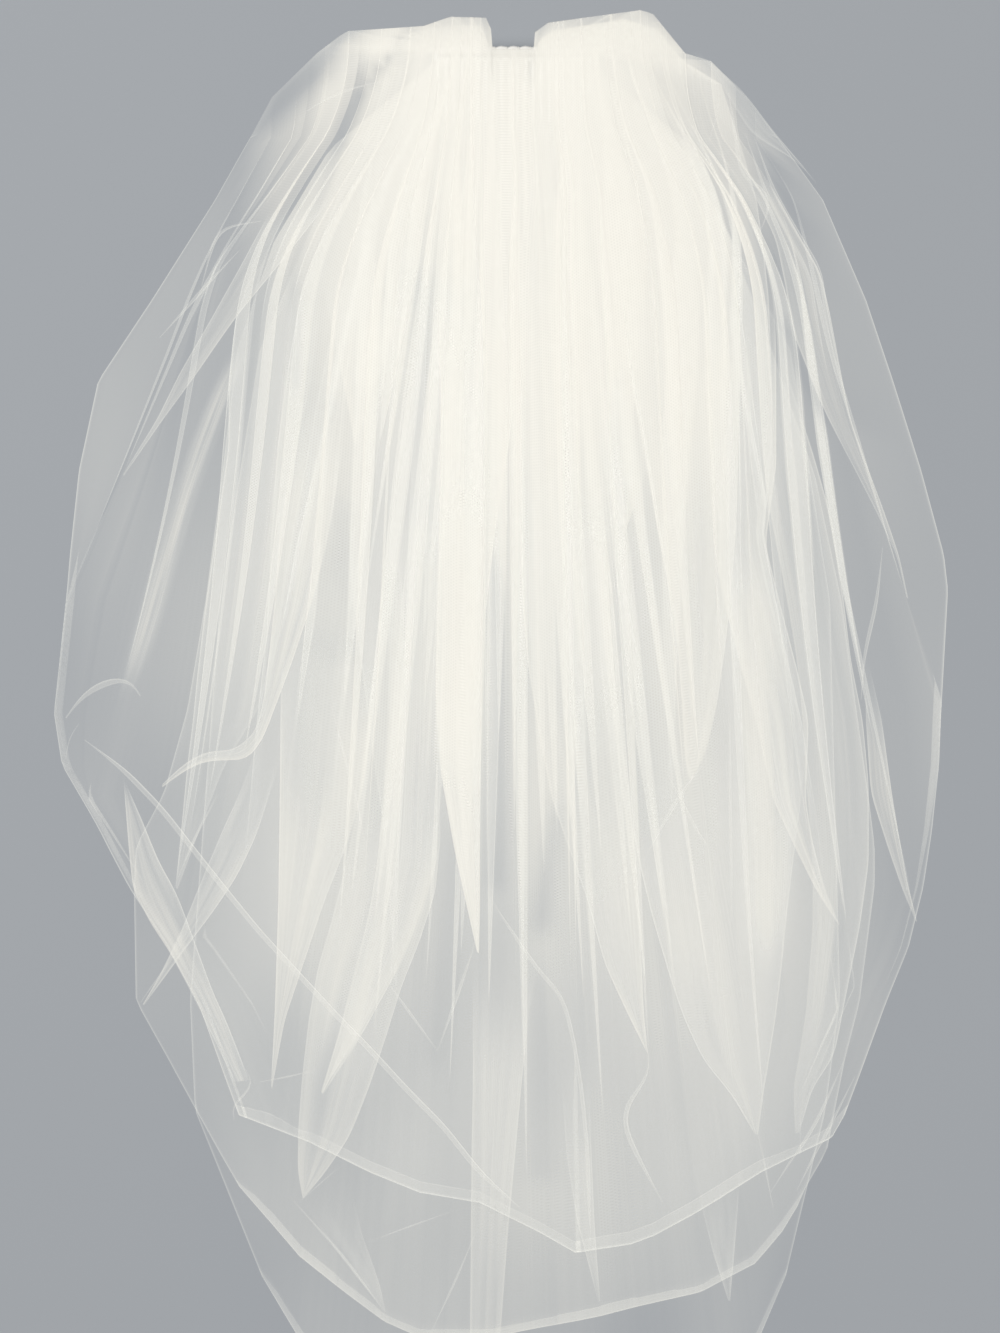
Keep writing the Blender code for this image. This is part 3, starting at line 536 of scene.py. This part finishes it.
def columns_of(folds, small, plain_at=()):
    """All columns of a pleated sheet from left to right, as arrays."""
    groups = [(fold[0], *fold[2:], PLEAT) for fold in folds]
    groups += [(*fold, SMALL_PLEAT) for fold in small]
    groups += [(share, NO_TIP, 0.0, 0.0, 1, PLAIN) for share in plain_at]
    groups.sort(key=lambda group: group[0])
    made = []

    def plain(root, shift, line):
        made.append((root, NO_TIP, 0.0, 0.0, 0.0, 0.0, 0.0, 0.0, line, shift))

    for distance, line in BORDER:
        plain(0.0, distance, line)
    last = 0.0
    for root, tip, half, height, side, profile in groups:
        if root - last > WIDEST_GAP:
            plain((root + last) / 2, 0.0, 0.0)
        last = root
        if side < 0:
            profile = [(-place, -turn, rise, line) for place, turn, rise, line in profile[::-1]]
        for index, (place, turn, rise, line) in enumerate(profile):
            order = 2 * index / max(len(profile) - 1, 1) - 1
            made.append((root, tip, half, height, place, turn, rise, order, line, 0.0))
    for distance, line in BORDER[::-1]:
        plain(1.0, -distance, line)
    return np.array(made).T


def swing_of(share):
    """How much a thread swings out, to the left or right: not in the middle or near the edges."""
    out = 2 * share - 1
    return np.sign(out) * ramp(abs(out), *SWING_IN) * ramp(abs(out), *SWING_OUT)


def swing_at(down):
    place = np.clip(down, 0, None) / SWING_PLACE
    return place * np.exp(1 - place)


def flow_of(shares, starts, ends, sections, most=0.0):
    """How a thread runs down from the gathers, between the large pleats and inside the outline."""
    roots = np.array([0.0, *shares, 1.0])
    swings = [most * swing_of(share) for share in shares]

    def flow(root, along):
        left, right = edges_at(sections, along)
        room = between(*ROOM, ramp(along, *ROOM_RAMP))
        lines = [left]
        for number, (start, end) in enumerate(zip(starts, ends)):
            down = (start[1] - along) / (start[1] - end[1])
            line = start[0] + (end[0] - start[0]) * down + swings[number] * swing_at(down)
            low, high = left + room * (number + 1), right - room * (len(starts) - number)
            lines.append(np.clip(line, low, high))
        lines.append(right)
        lines = np.maximum.accumulate(np.array(lines), axis=0)
        place = np.clip(np.searchsorted(roots, root, side="right") - 1, 0, len(roots) - 2)
        share = (root - roots[place]) / (roots[place + 1] - roots[place])
        number = np.arange(len(root))
        return between(lines[place, number], lines[place + 1, number], share)

    return flow


def puff_flow(folds, edge, sections):
    shares = [fold[0] for fold in folds]
    starts = [(float(read(edge, share, 1)), float(read(edge, share, 2))) for share in shares]
    return flow_of(shares, starts, [fold[1:3] for fold in folds], sections, SWING)


def lower_flow(folds, sections, hem):
    top, top_left, top_right = sections[0]
    starts = [(between(top_left, top_right, fold[0]), top) for fold in folds]
    ends = []
    for fold in folds:
        across = between(*sections[-1][1:], fold[1])
        ends.append((across, float(read(hem, across, 1))))
    return flow_of([fold[0] for fold in folds], starts, ends, sections)


def pleat_width(root, half, down, gap):
    """Half width of a pleat, which opens below the gathers and narrows to its tip."""
    width = half * between(OPEN_LEAST, 1.0, ramp(down, *OPENS))
    width = width * np.clip((1 - down) / TAPER, 0, 1) ** TAPER_POWER
    aside = ramp(np.abs(2 * root - 1), *ASIDE)
    return np.minimum(width * (1 - ASIDE_DRAWN * aside * (1 - eased(down / ASIDE_RUN))), GAP_FILLED * gap)


def pleat_height(height, width, down):
    """Height of a pleat's top over its sheet."""
    risen = height * np.sin(np.pi * down**RISE_POWER) * between(RISE_LEAST, 1.0, eased(down / RISE_RUN))
    return np.minimum(risen, STEEPEST * width + TURN_HEIGHT) + LAYERS * (down < 1)


def pleat_line(half, width, down, past):
    """How much of its light line a turn shows."""
    shown = (1 - past) * np.where(width > LINE_WIDTH, 1.0, LINE_NARROW)
    shown = shown * between(LINE_TOP, 1.0, eased(down / LINE_RUN))
    return np.where(half > 0, shown * np.clip(half / LINE_FULL, LINE_LEAST, 1), 1.0)


def pleat_state(columns, along, top, flow):
    """Offset across, height and line of each column at its place along."""
    root, tip, half, height, place, turn, rise, order, line, shift = columns
    gap = flow(np.clip(root + BESIDE, 0, 1), along) - flow(np.clip(root - BESIDE, 0, 1), along)
    down = np.clip((top - along) / np.maximum(top - tip, 1.0), 0, 1)
    past = np.clip((tip - along) / RUN_OUT, 0, 1)
    width = pleat_width(root, half, down, gap)
    step = np.minimum(TURN, TURN_SHARE * width)
    spread = np.minimum(SPREAD + SPREAD_PAST * past, SPREAD_SHARE * gap)
    offset = width * place - step * turn + np.where(half > 0, spread * order, 0.0) + shift
    lift = pleat_height(height, width, down) * rise
    return offset, lift, line * pleat_line(half, width, down, past)


def heap_at(across, along):
    """Height of the heap of gathers under the short tier."""
    left, right = edges_at(SHORT_SECTIONS, along)
    outer = (across - left) / (right - left)
    return read(CROWN, along) * np.exp(-((np.abs(2 * outer - 1) / CROWN_SPREAD) ** CROWN_FALL))


def row_at(columns, start, down, top, flow, sections, hem, least):
    """Edges of a row this share of the way down, and share across, place along, lift and line in it."""
    along = between(start, sections[-1][0], down) * np.ones_like(columns[0])
    for _ in range(SETTLED):
        offset, lift, lit = pleat_state(columns, along, top, flow)
        left, right = edges_at(sections, along)
        offset = offset * np.clip((right - left) / FULL_WIDTH, least, 1)
        share = np.clip((flow(columns[0], along) + offset - left) / (right - left), 0, 1)
        along = between(start, read(hem, between(*sections[-1][1:], share), 1), down)
    return left, right, share, along, lift, lit


def puff_sheet(columns, distances, tucked, folds, puff_edge, sections, hem, sunk):
    """Points and light lines of a sheet that comes up over the gathers and down to its hem."""
    root = columns[0]
    flow = puff_flow(folds, puff_edge, sections)
    at_top, _, _ = pleat_state(columns, np.full_like(root, GATHER_LINE), GATHER_LINE, flow)
    edge = np.clip(root + at_top / GATHERED, 0, 1)
    top_across, top_along, top_height = (read(puff_edge, edge, k) for k in (1, 2, 3))
    _, top_left, top_right = sections[0]
    top_share = (top_across - top_left) / (top_right - top_left)
    rows, lines = [], []
    at_roll = np.stack([read(ROLL_PLACES, edge), np.full_like(edge, ROLL_ALONG), 0 * edge], -1)
    at_edge = np.stack([top_across, top_along, np.maximum(top_height, TUCK_LEAST)], -1)
    for share_down in tucked:
        point = between(at_roll, at_edge, share_down)
        point[:, 2] = between(TUCK_HEIGHT, at_edge[:, 2], eased(share_down))
        rows.append(point)
        lines.append(0 * root)
    for distance in distances:
        down = distance / distances[-1]
        row = row_at(columns, top_along, down, GATHER_LINE, flow, sections, hem, 1)
        left, right, share, along, lift, lit = row
        across = between(left, right, between(top_share, share, eased(down / TOP_SPREAD)))
        drop = top_along - along
        rise = np.sqrt(1 - (1 - np.clip(drop / PUFF_DEPTH, 0, 1)) ** 2)
        level = (flat_level(along, 2) + LOOSE) * overhang(LONG_SECTIONS, across, along, *SHORT_DROOP)
        level = between(top_height, level, eased(drop / EDGE_BLEND))
        heap = np.maximum(heap_at(across, along) - sunk, 0)
        waves = [np.sin(across / over + along / down) for over, down in UNEVEN_WAVES]
        soft = UNEVEN * waves[0] * waves[1]
        height = level + (heap + lift + UNEVEN + soft) * rise + IN_WALL - UNEVEN
        rows.append(np.stack([across, along, height], -1))
        lines.append(lit)
    return np.array(rows), np.array(lines)


def lower_sheet(columns, sections, hem, folds, layer, below):
    """Points and light lines of a lower tier, from the roll of gathers to the hem."""
    top = sections[0][0]
    flow = lower_flow(folds, sections, hem)
    rows, lines = [], []
    for down in STEPS:
        left, right, share, along, lift, lit = row_at(columns, top, down, top, flow, sections, hem, 0.25)
        across = between(left, right, share)
        level = flat_level(along, layer)
        if below:
            level = level * overhang(below, across, along, *LOWER_DROOP)
        free = lying_free(along)
        wave = np.sin(across / RIPPLE_ACROSS + 2.0 * layer + along / RIPPLE_ALONG)
        ripple = RIPPLE_MOST * RIPPLE_SHARE * free * (1 + wave)
        height = level + IN_WALL + ripple + np.minimum(lift, between(*RIPPLE_ROOM, free))
        rows.append(np.stack([across, along, height], -1))
        lines.append(lit)
    return np.array(rows), np.array(lines)


def folded_hem(points, lines, depth):
    """Adds the hem: the last rows turn under and run back up."""
    back = points[-4] - points[-1]
    back[:, 2] = 0
    back /= np.maximum(np.linalg.norm(back, axis=1, keepdims=True), 1e-6)
    columns = points.shape[1]
    wobble = 1 + 0.25 * np.sin(np.linspace(0, 17, columns)) * np.sin(np.linspace(1, 6, columns))
    rows, bright = [points], [lines.copy()]
    bright[0][-1] = 1.0
    bright[0][-2] = np.maximum(bright[0][-2], 0.35)
    for share, drop, line in HEM_TURN:
        row = points[-1] + back * (depth * share * wobble)[:, None]
        row[:, 2] -= drop
        rows.append(row[None])
        bright.append(np.maximum(lines[-1] * 0.5, line)[None])
    return np.concatenate(rows), np.concatenate(bright)


def cut_of(points):
    """Places in the flat cut, in metres: across from the widest row, down by mean steps."""
    widths = np.linalg.norm(np.diff(points, axis=1), axis=2)
    widest = widths[int(np.argmax(widths.sum(1)))]
    across = np.concatenate([[0], np.cumsum(widest)])
    steps = np.linalg.norm(np.diff(points, axis=0), axis=2).mean(1)
    down = np.concatenate([[0], np.cumsum(steps)])
    return np.stack(np.broadcast_arrays(across[None, :], down[:, None]), -1) * MM


def streaks(shape, seed, strength):
    """Finer and coarser gathers that run down the sheet, as a factor for each point."""
    dice = np.random.default_rng(seed)
    rows, columns = shape
    total = np.zeros(shape)
    for reach, share in STREAKS:
        stations = dice.normal(size=(STREAK_STATIONS, columns))
        kernel = np.hanning(2 * reach + 1)
        kernel /= np.sqrt((kernel**2).sum())
        stations = np.array([np.convolve(row, kernel, "same") for row in stations])
        at = np.linspace(0, STREAK_STATIONS - 1, rows)
        low = np.minimum(at.astype(int), STREAK_STATIONS - 2)
        total += share * between(stations[low], stations[low + 1], eased(at - low)[:, None])
    return np.clip(1 + strength * total, 0.35, 2.2)


def clouds(across, along, seed, strength):
    """Broad drifts in how close the net lies, as a factor for each point."""
    dice = np.random.default_rng(seed)
    total = np.zeros(np.broadcast(across, along).shape)
    for _ in range(CLOUD_WAVES):
        over, down = (dice.normal(0, 1 / size) for size in CLOUD_SIZE)
        total += np.sin(across * over + along * down + dice.uniform(0, 6.28))
    return np.clip(1 + strength * total / 2.6, 0.3, 2.0)


def tucked_in(across):
    """Thins the tucked part towards its sides, as the net there is drawn in to nothing."""
    edge = across[len(TUCKED)]
    side = eased((edge - edge.min() - 10) / 60) * eased((edge.max() - 10 - edge) / 50)
    factor = np.ones_like(across)
    factor[: len(TUCKED)] = side
    return factor


def sheet_of(points, lines, thickness):
    cover = np.broadcast_to(thickness, points.shape[:2])
    return {"points": points, "line": lines, "cover": cover, "cut": cut_of(points)}


def tier_grid(points, lines, tier, seed):
    across, along = points[..., 0], points[..., 1]
    if tier:
        lines = lines * between(0.7, 0.0, ramp(along, *LOWER_LINES_END))
    thickness = layer_thickness(across, along, tier)
    strength = 0.05 + 0.12 * ramp(along, *STREAKS_RAMP)
    thickness = thickness * streaks(thickness.shape, seed, strength) * clouds(across, along, seed, 0.22)
    if tier == 0:
        thickness = thickness * tucked_in(across)
    return sheet_of(points, lines, thickness)


def inner_grid(points, lines, seed):
    across, along = points[..., 0], points[..., 1]
    left, right = edges_at(INNER_SECTIONS, along)
    core = ramp(across, left, INNER_CORE[0]) * ramp(across, right, -INNER_CORE[1])
    thickness = read(INNER_CLOSE, along) * (INNER_SIDE + (1 - INNER_SIDE) * core)
    thickness = thickness * streaks(along.shape, seed, 0.15) * slits(across, along)
    thickness = thickness * clouds(across, along, seed, 0.3) * tucked_in(across)
    return sheet_of(points, lines * ramp(along, *INNER_LINES_END), thickness)


def quads_of(rows, columns):
    """Corners of the faces of a grid."""
    index = np.arange(rows * columns).reshape(rows, columns)
    return np.stack([index[:-1, :-1], index[1:, :-1], index[1:, 1:], index[:-1, 1:]], -1).reshape(-1, 4)


def values_of(items, name, width=1, kind=np.float32):
    values = np.empty(len(items) * width, kind)
    items.foreach_get(name, values)
    return values.reshape(-1, width)


def even_normals(mesh):
    """Turns normals towards the upright, since threads scatter light to all sides."""
    corners = values_of(mesh.loops, "vertex_index", kind=np.int32)[:, 0]
    faces = values_of(mesh.polygon_normals, "vector", 3)
    side = np.where(faces[:, 2] < 0, -1.0, 1.0)
    normals = values_of(mesh.vertex_normals, "vector", 3)[corners]
    normals[:, 2] += UPRIGHT * np.repeat(side, 4)
    normals /= np.linalg.norm(normals, axis=1, keepdims=True)
    mesh.normals_split_custom_set(normals.tolist())


def placed(name, data):
    """A new object in the scene."""
    made = bpy.data.objects.new(name, data)
    bpy.context.scene.collection.objects.link(made)
    return made


def cloth_object(name, grids, material):
    """One object out of several grids of points."""
    faces = []
    start = 0
    for sheet in grids:
        rows, columns = sheet["points"].shape[:2]
        faces.append(start + quads_of(rows, columns))
        start += rows * columns
    points, cut, cover, line = (
        np.concatenate([sheet[key].reshape(-1, width) for sheet in grids])
        for key, width in (("points", 3), ("cut", 2), ("cover", 1), ("line", 1))
    )
    faces = np.concatenate(faces)
    mesh = bpy.data.meshes.new(name)
    mesh.from_pydata(((points + MIDDLE) * MM).tolist(), [], faces.tolist())
    for title, values in (("cover", cover), ("line", line)):
        layer = mesh.attributes.new(title, "FLOAT", "POINT")
        layer.data.foreach_set("value", values.astype(np.float32).reshape(-1))
    uv = mesh.uv_layers.new(name="cut")
    uv.data.foreach_set("uv", cut[faces.reshape(-1)].astype(np.float32).reshape(-1))
    mesh.shade_smooth()
    even_normals(mesh)
    mesh.materials.append(material)
    return placed(name, mesh)


def form_below(sheets):
    """A function for the height of the highest of these sheets at places in the plan."""
    trees = []
    for points in sheets:
        quads = quads_of(*points.shape[:2])
        trees.append(BVHTree.FromPolygons(points.reshape(-1, 3).tolist(), quads.tolist()))

    def height(across, along):
        found = np.zeros(across.size)
        for number, (x, y) in enumerate(zip(across.reshape(-1), along.reshape(-1))):
            for tree in trees:
                hit = tree.ray_cast(Vector((x, y, 200.0)), Vector((0, 0, -1)))[0]
                if hit is not None:
                    found[number] = max(found[number], hit.z)
        return found.reshape(across.shape)

    return height


def plan(places):
    """Millimetres from the middle, from places on the plan."""
    return (places - PLAN_MIDDLE) * (PLAN_STEP, -PLAN_STEP)


def marks_on(path, step):
    """Lengths at the corners of a path, and even marks along it."""
    steps = np.linalg.norm(np.diff(path, axis=0), axis=1)
    lengths = np.concatenate([[0], np.cumsum(steps)])
    count = max(int(lengths[-1] / step), FEWEST_ROWS)
    return lengths, np.linspace(0, lengths[-1], count + 1)


def rounded(path, lengths, at, times):
    """Points of a path at the marks, with its corners rounded a few times."""
    made = np.stack([np.interp(at, lengths, path[:, k]) for k in (0, 1)], -1)
    for _ in range(times):
        made[1:-1] = made[1:-1] * 0.5 + (made[:-2] + made[2:]) * 0.25
    return made


def flap(left, right, density, left_line, right_line, lift, crown, surface, seed=0, start=0, inner=1, step=7):
    """A fold of net between two edges on the plan, laid on a surface. It comes up over the start length."""
    left, right = plan(left), plan(right)
    lengths, at = marks_on((left + right) / 2, PLAN_STEP * step)
    left, right = (rounded(side, lengths, at, 2) for side in (left, right))
    width = np.linalg.norm(right - left, axis=1)
    near, next_in = (np.minimum(inset / np.maximum(width, 1e-3), most) for inset, most in FLAP_BORDER)
    shares = [0 * near, near, next_in]
    shares += [between(next_in, 1 - next_in, (k + 1) / (inner + 1)) for k in range(inner)]
    shares = np.stack([*shares, 1 - next_in, 1 - near, 0 * near + 1], -1)
    flat = left[:, None, :] + (right - left)[:, None, :] * shares[..., None]
    over = surface(flat[..., 0], flat[..., 1])
    dome = crown * np.sin(np.pi * shares) * np.clip(width / 8, 0, 1)[:, None]
    points = np.concatenate([flat, (over + lift + dome)[..., None]], -1)
    line = np.zeros(shares.shape[1])
    line[:2] = left_line, left_line * 0.35
    line[-2:] = right_line * 0.35, right_line
    from_end = np.minimum(at, lengths[-1] - at)
    fade = np.clip(from_end / LINE_FADE, 0.15, 1)
    shown = eased((at + 4) / start) if start else np.ones_like(at)
    lines = line[None, :] * (fade * between(0.1, 1.0, shown))[:, None]
    thickness = density * shown[:, None]
    if start:
        thickness = thickness * streaks(shares.shape, seed, FLAP_STREAKS)
    if max(left_line, right_line) < 0.1:
        thickness = thickness * np.sin(np.pi * shares) ** 2 * eased(from_end / SOFT_FADE)[:, None]
    return sheet_of(points, lines, thickness)


def crease(points, width, line, surface):
    """A narrow pinched fold along a line, widest in its middle."""
    points = np.reshape(points, (-1, 2))
    lengths, at = marks_on(points, CREASE_STEP)
    path = rounded(points, lengths, at, 4)
    ahead = np.gradient(path, axis=0)
    aside = np.stack([-ahead[:, 1], ahead[:, 0]], -1)
    aside /= np.linalg.norm(aside, axis=1, keepdims=True)
    taper = np.clip(np.minimum(at, lengths[-1] - at) / CREASE_TAPER, 0.15, 1)
    half = width / PLAN_STEP / 2 * taper[:, None]
    left, right = path - aside * half, path + aside * half
    return flap(left, right, CREASE_DENSITY, line, line * 0.3, CREASE_LIFT, CREASE_CROWN, surface)


def new_material(name):
    """A material, its nodes, its links and its shader."""
    material = bpy.data.materials.new(name)
    material.use_nodes = True
    nodes = material.node_tree.nodes
    return material, nodes, material.node_tree.links, nodes["Principled BSDF"]


def blend(nodes, links, factor, low, high):
    """A colour between two others."""
    node = nodes.new("ShaderNodeMix")
    node.data_type = "RGBA"
    node.inputs["A"].default_value = (*low, 1.0)
    node.inputs["B"].default_value = (*high, 1.0)
    links.new(factor, node.inputs["Factor"])
    return node.outputs["Result"]


def attribute(nodes, name):
    node = nodes.new("ShaderNodeAttribute")
    node.attribute_name = name
    return node.outputs["Fac"]


def tulle_material(name):
    """Net: thin to light where it lies single, and white where many layers lie close."""
    material, nodes, links, shader = new_material(name)

    def math(operation, *values):
        node = nodes.new("ShaderNodeMath")
        node.operation = operation
        for socket, value in zip(node.inputs, values):
            if isinstance(value, float):
                socket.default_value = value
            else:
                links.new(value, socket)
        return node.outputs[0]

    uv = nodes.new("ShaderNodeUVMap")
    uv.uv_map = "cut"
    density = attribute(nodes, "cover")
    line = attribute(nodes, "line")
    waves = None
    for x, y in ((1.0, 0.0), (-0.5, 0.866), (-0.5, -0.866)):
        turned = nodes.new("ShaderNodeVectorMath")
        turned.operation = "DOT_PRODUCT"
        turned.inputs[1].default_value = (x * NET_WAVE, y * NET_WAVE, 0.0)
        links.new(uv.outputs[0], turned.inputs[0])
        wave = math("COSINE", turned.outputs["Value"])
        waves = wave if waves is None else math("ADD", waves, wave)
    net = math("SUBTRACT", 1.0, math("MULTIPLY", waves, NET_DEPTH))

    clear = math("EXPONENT", math("MULTIPLY", math("MULTIPLY", density, net), -1.0))
    clear = math("MULTIPLY", clear, math("SUBTRACT", 1.0, math("MULTIPLY", line, LINE_STOPS)))
    links.new(math("SUBTRACT", 1.0, clear), shader.inputs["Alpha"])

    tone = blend(nodes, links, math("MULTIPLY", density, 2.0), SINGLE_TONE, CLOSE_TONE)
    links.new(tone, shader.inputs["Base Color"])
    shader.inputs["Roughness"].default_value = 0.72
    shader.inputs["Sheen Weight"].default_value = 0.25
    shader.inputs["Specular IOR Level"].default_value = 0.2
    return material


def plain_material(name, colour, roughness, noise_scale, spread, bump_strength=0.0):
    """A material whose colour drifts a little over the surface."""
    material, nodes, links, shader = new_material(name)
    place = nodes.new("ShaderNodeTexCoord")
    texture = nodes.new("ShaderNodeTexNoise")
    texture.inputs["Scale"].default_value = noise_scale
    texture.inputs["Detail"].default_value = 3.0
    links.new(place.outputs["Object"], texture.inputs["Vector"])
    darker = [part * (1 - spread) for part in colour]
    lighter = [min(part * (1 + spread), 1.0) for part in colour]
    links.new(blend(nodes, links, texture.outputs["Fac"], darker, lighter), shader.inputs["Base Color"])
    if bump_strength:
        bump = nodes.new("ShaderNodeBump")
        bump.inputs["Strength"].default_value = bump_strength
        bump.inputs["Distance"].default_value = BUMP_DEPTH
        links.new(texture.outputs["Fac"], bump.inputs["Height"])
        links.new(bump.outputs["Normal"], shader.inputs["Normal"])
    shader.inputs["Roughness"].default_value = roughness
    return material


def even_rows(end, count):
    return np.linspace(NEAR_EDGE[-1], end, count)[1:]


def lower_tier(folds, small, sections, hem, layer, below, seed):
    """Points of a lower tier without its hem, and its whole grid. Layers count up, and tiers down."""
    columns = columns_of(folds, small_folds(folds, *small))
    points, lines = lower_sheet(columns, sections, hem, folds, layer, below)
    return points, tier_grid(*folded_hem(points, lines, LOWER_HEM_DEPTH), 2 - layer, seed)


# Short tier, and the same sheet without pleats, for what is laid on it
SHORT_FORM = (SHORT_FOLDS, PUFF_EDGE, SHORT_SECTIONS, SHORT_HEM, 0.0)
columns = columns_of(SHORT_FOLDS, small_folds(SHORT_FOLDS, *SHORT_SMALL), NOTCH_COLUMNS)
distances = np.concatenate([NEAR_EDGE, even_rows(SHORT_LAST[0], 100), SHORT_LAST[1:]])
points, lines = puff_sheet(columns, distances, TUCKED, *SHORT_FORM)
short_grid = tier_grid(*folded_hem(points, lines, SHORT_HEM_DEPTH), 0, 5)
bare = columns_of((), (), [k / 60 for k in range(1, 60)])
base_points, _ = puff_sheet(bare, np.concatenate([NEAR_EDGE, even_rows(SHORT_RUN, 60)]), (), *SHORT_FORM)

# Inner gathers
INNER_FORM = (INNER_FOLDS, INNER_EDGE, INNER_SECTIONS, INNER_HEM, INNER_SINK)
columns = columns_of(INNER_FOLDS, small_folds(INNER_FOLDS, *INNER_SMALL), INNER_NOTCH)
distances = np.concatenate([NEAR_EDGE, even_rows(INNER_RUN, 80)])
inner_sheet = inner_grid(*puff_sheet(columns, distances, TUCKED, *INNER_FORM), 7)

# Lower tiers
long_points, long_grid = lower_tier(LONG_FOLDS, LONG_SMALL, LONG_SECTIONS, LONG_HEM, 1, UNDER_SECTIONS, 9)
under_points, under_grid = lower_tier(UNDER_FOLDS, UNDER_SMALL, UNDER_SECTIONS, UNDER_HEM, 0, None, 13)

# Flaps and creases on the form of the three tiers
surface = form_below([base_points, long_points, under_points])


def flaps_of(rows, seed, start):
    made = []
    for number, (*look, stations) in enumerate(rows):
        y, left, right, down = np.array([(*station, 0)[:4] for station in stations], float).T
        edges = np.stack([left, y], -1), np.stack([right, y + down], -1)
        made.append(flap(*edges, *look, surface, seed + number, start, FLAP_COLUMNS, FLAP_STEP))
    return made


inner = flaps_of(INNER_FLAPS, INNER_SEED, INNER_START)
top = flaps_of(TOP_FLAPS, TOP_SEED, TOP_START)
top += [crease(points, width, line, surface) for line, width, *points in CREASES]

short = cloth_object("short_tier_net", [short_grid] + top, tulle_material("tulle_short"))
folds = cloth_object("inner_folds_net", [inner_sheet] + inner, tulle_material("tulle_inner"))
long = cloth_object("long_tier_net", [long_grid], tulle_material("tulle_long"))
under = cloth_object("under_tier_net", [under_grid], tulle_material("tulle_under"))

for made, node in ((short, "short_tier"), (folds, "inner_folds"), (long, "long_tier"), (under, "under_tier")):
    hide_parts(node)
    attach(made, "root")
    made.visible_shadow = False
    made.visible_diffuse = False


# Comb and roll keep their solids and get finer materials
roll_material = plain_material("rolled_net", THREAD_TONE, 0.7, 900.0, 0.06, 0.5)
comb_material = plain_material("comb_moulding", COMB_TONE, 0.22, 60.0, 0.04, 0.05)
bpy.data.objects["gather_roll"].material_slots[0].material = roll_material
bpy.data.objects["comb"].material_slots[0].material = comb_material

# Whip stitches that hold the roll to the comb, one in each narrow place of the roll
thread = bpy.data.curves.new("whip_stitches", "CURVE")
thread.dimensions = "3D"
thread.bevel_depth = THREAD_RADIUS * MM
thread.bevel_resolution = 1
thread.use_fill_caps = True
turn = np.radians(np.linspace(*STITCH_TURN))
round_roll = ROLL_RADIUS - ROLL_BUMP + THREAD_RADIUS
round_along = ROLL_ALONG + round_roll * np.cos(turn)
round_height = ON_COMB + ROLL_RADIUS + ROLL_BUMP + round_roll * np.sin(turn)
front, back = SPINE_FRONT + OFF_SPINE, SPINE_BACK - OFF_SPINE
along = [front, front, *round_along, back, back]
height = [STITCH_FOOT, ON_COMB, *round_height, ON_COMB, STITCH_FOOT]
slant = STITCH_SLANT * (np.arange(len(along)) / (len(along) - 1) - 0.5)
gaps = round(ROLL_WIDTH / STITCH_SPACING)
for number in range(1, gaps):
    across = COMB_MIDDLE + ROLL_WIDTH * (number / gaps - 0.5) + slant
    spline = thread.splines.new("POLY")
    spline.points.add(len(along) - 1)
    for point, spot in zip(spline.points, (np.stack([across, along, height], -1) + MIDDLE) * MM):
        point.co = (*spot, 1.0)
thread.materials.append(plain_material("sewing_thread", THREAD_TONE, 0.55, 1500.0, 0.08, 0.4))
stitches = placed("whip_stitches", thread)
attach(stitches, "root")

# Floor, lights, surroundings and camera, in metres
FLOOR_SIZE, FLOOR_LEVEL = 8.0, -0.0005
CAMERA_HEIGHT = 2.6
SENSOR = 36.0
# Height of what the camera sees on the floor, and its middle
VIEW_HEIGHT = 0.8
VIEW_MIDDLE = (-0.0010, 0.04465)

bpy.ops.mesh.primitive_plane_add(size=FLOOR_SIZE, location=(0, 0, FLOOR_LEVEL))
floor = bpy.context.object
floor.name = "floor"
floor.data.materials.append(plain_material("floor_paint", FLOOR_TONE, 0.9, 0.6, 0.01))


def area_light(name, place, size, power):
    data = bpy.data.lights.new(name, "AREA")
    data.size = size
    data.energy = power
    lamp = placed(name, data)
    lamp.location = place
    lamp.rotation_euler = (-Vector(place)).to_track_quat("-Z", "Y").to_euler()


area_light("key_light", (-1.3, 1.2, 3.2), 1.8, 73.0)
area_light("fill_light", (1.6, -1.2, 3.2), 2.4, 42.0)

world = bpy.data.worlds.new("studio")
world.use_nodes = True
background = world.node_tree.nodes["Background"]
background.inputs["Color"].default_value = (1.0, 0.995, 0.98, 1.0)
background.inputs["Strength"].default_value = 0.30
scene = bpy.context.scene
scene.world = world
scene.view_settings.view_transform = "Standard"
scene.cycles.transparent_max_bounces = 64
scene.cycles.diffuse_bounces = 2

camera_data = bpy.data.cameras.new("camera")
camera_data.sensor_fit = "VERTICAL"
camera_data.sensor_height = SENSOR
camera_data.lens = SENSOR * CAMERA_HEIGHT / VIEW_HEIGHT
camera = placed("camera", camera_data)
camera.location = (*VIEW_MIDDLE, CAMERA_HEIGHT)
scene.camera = camera
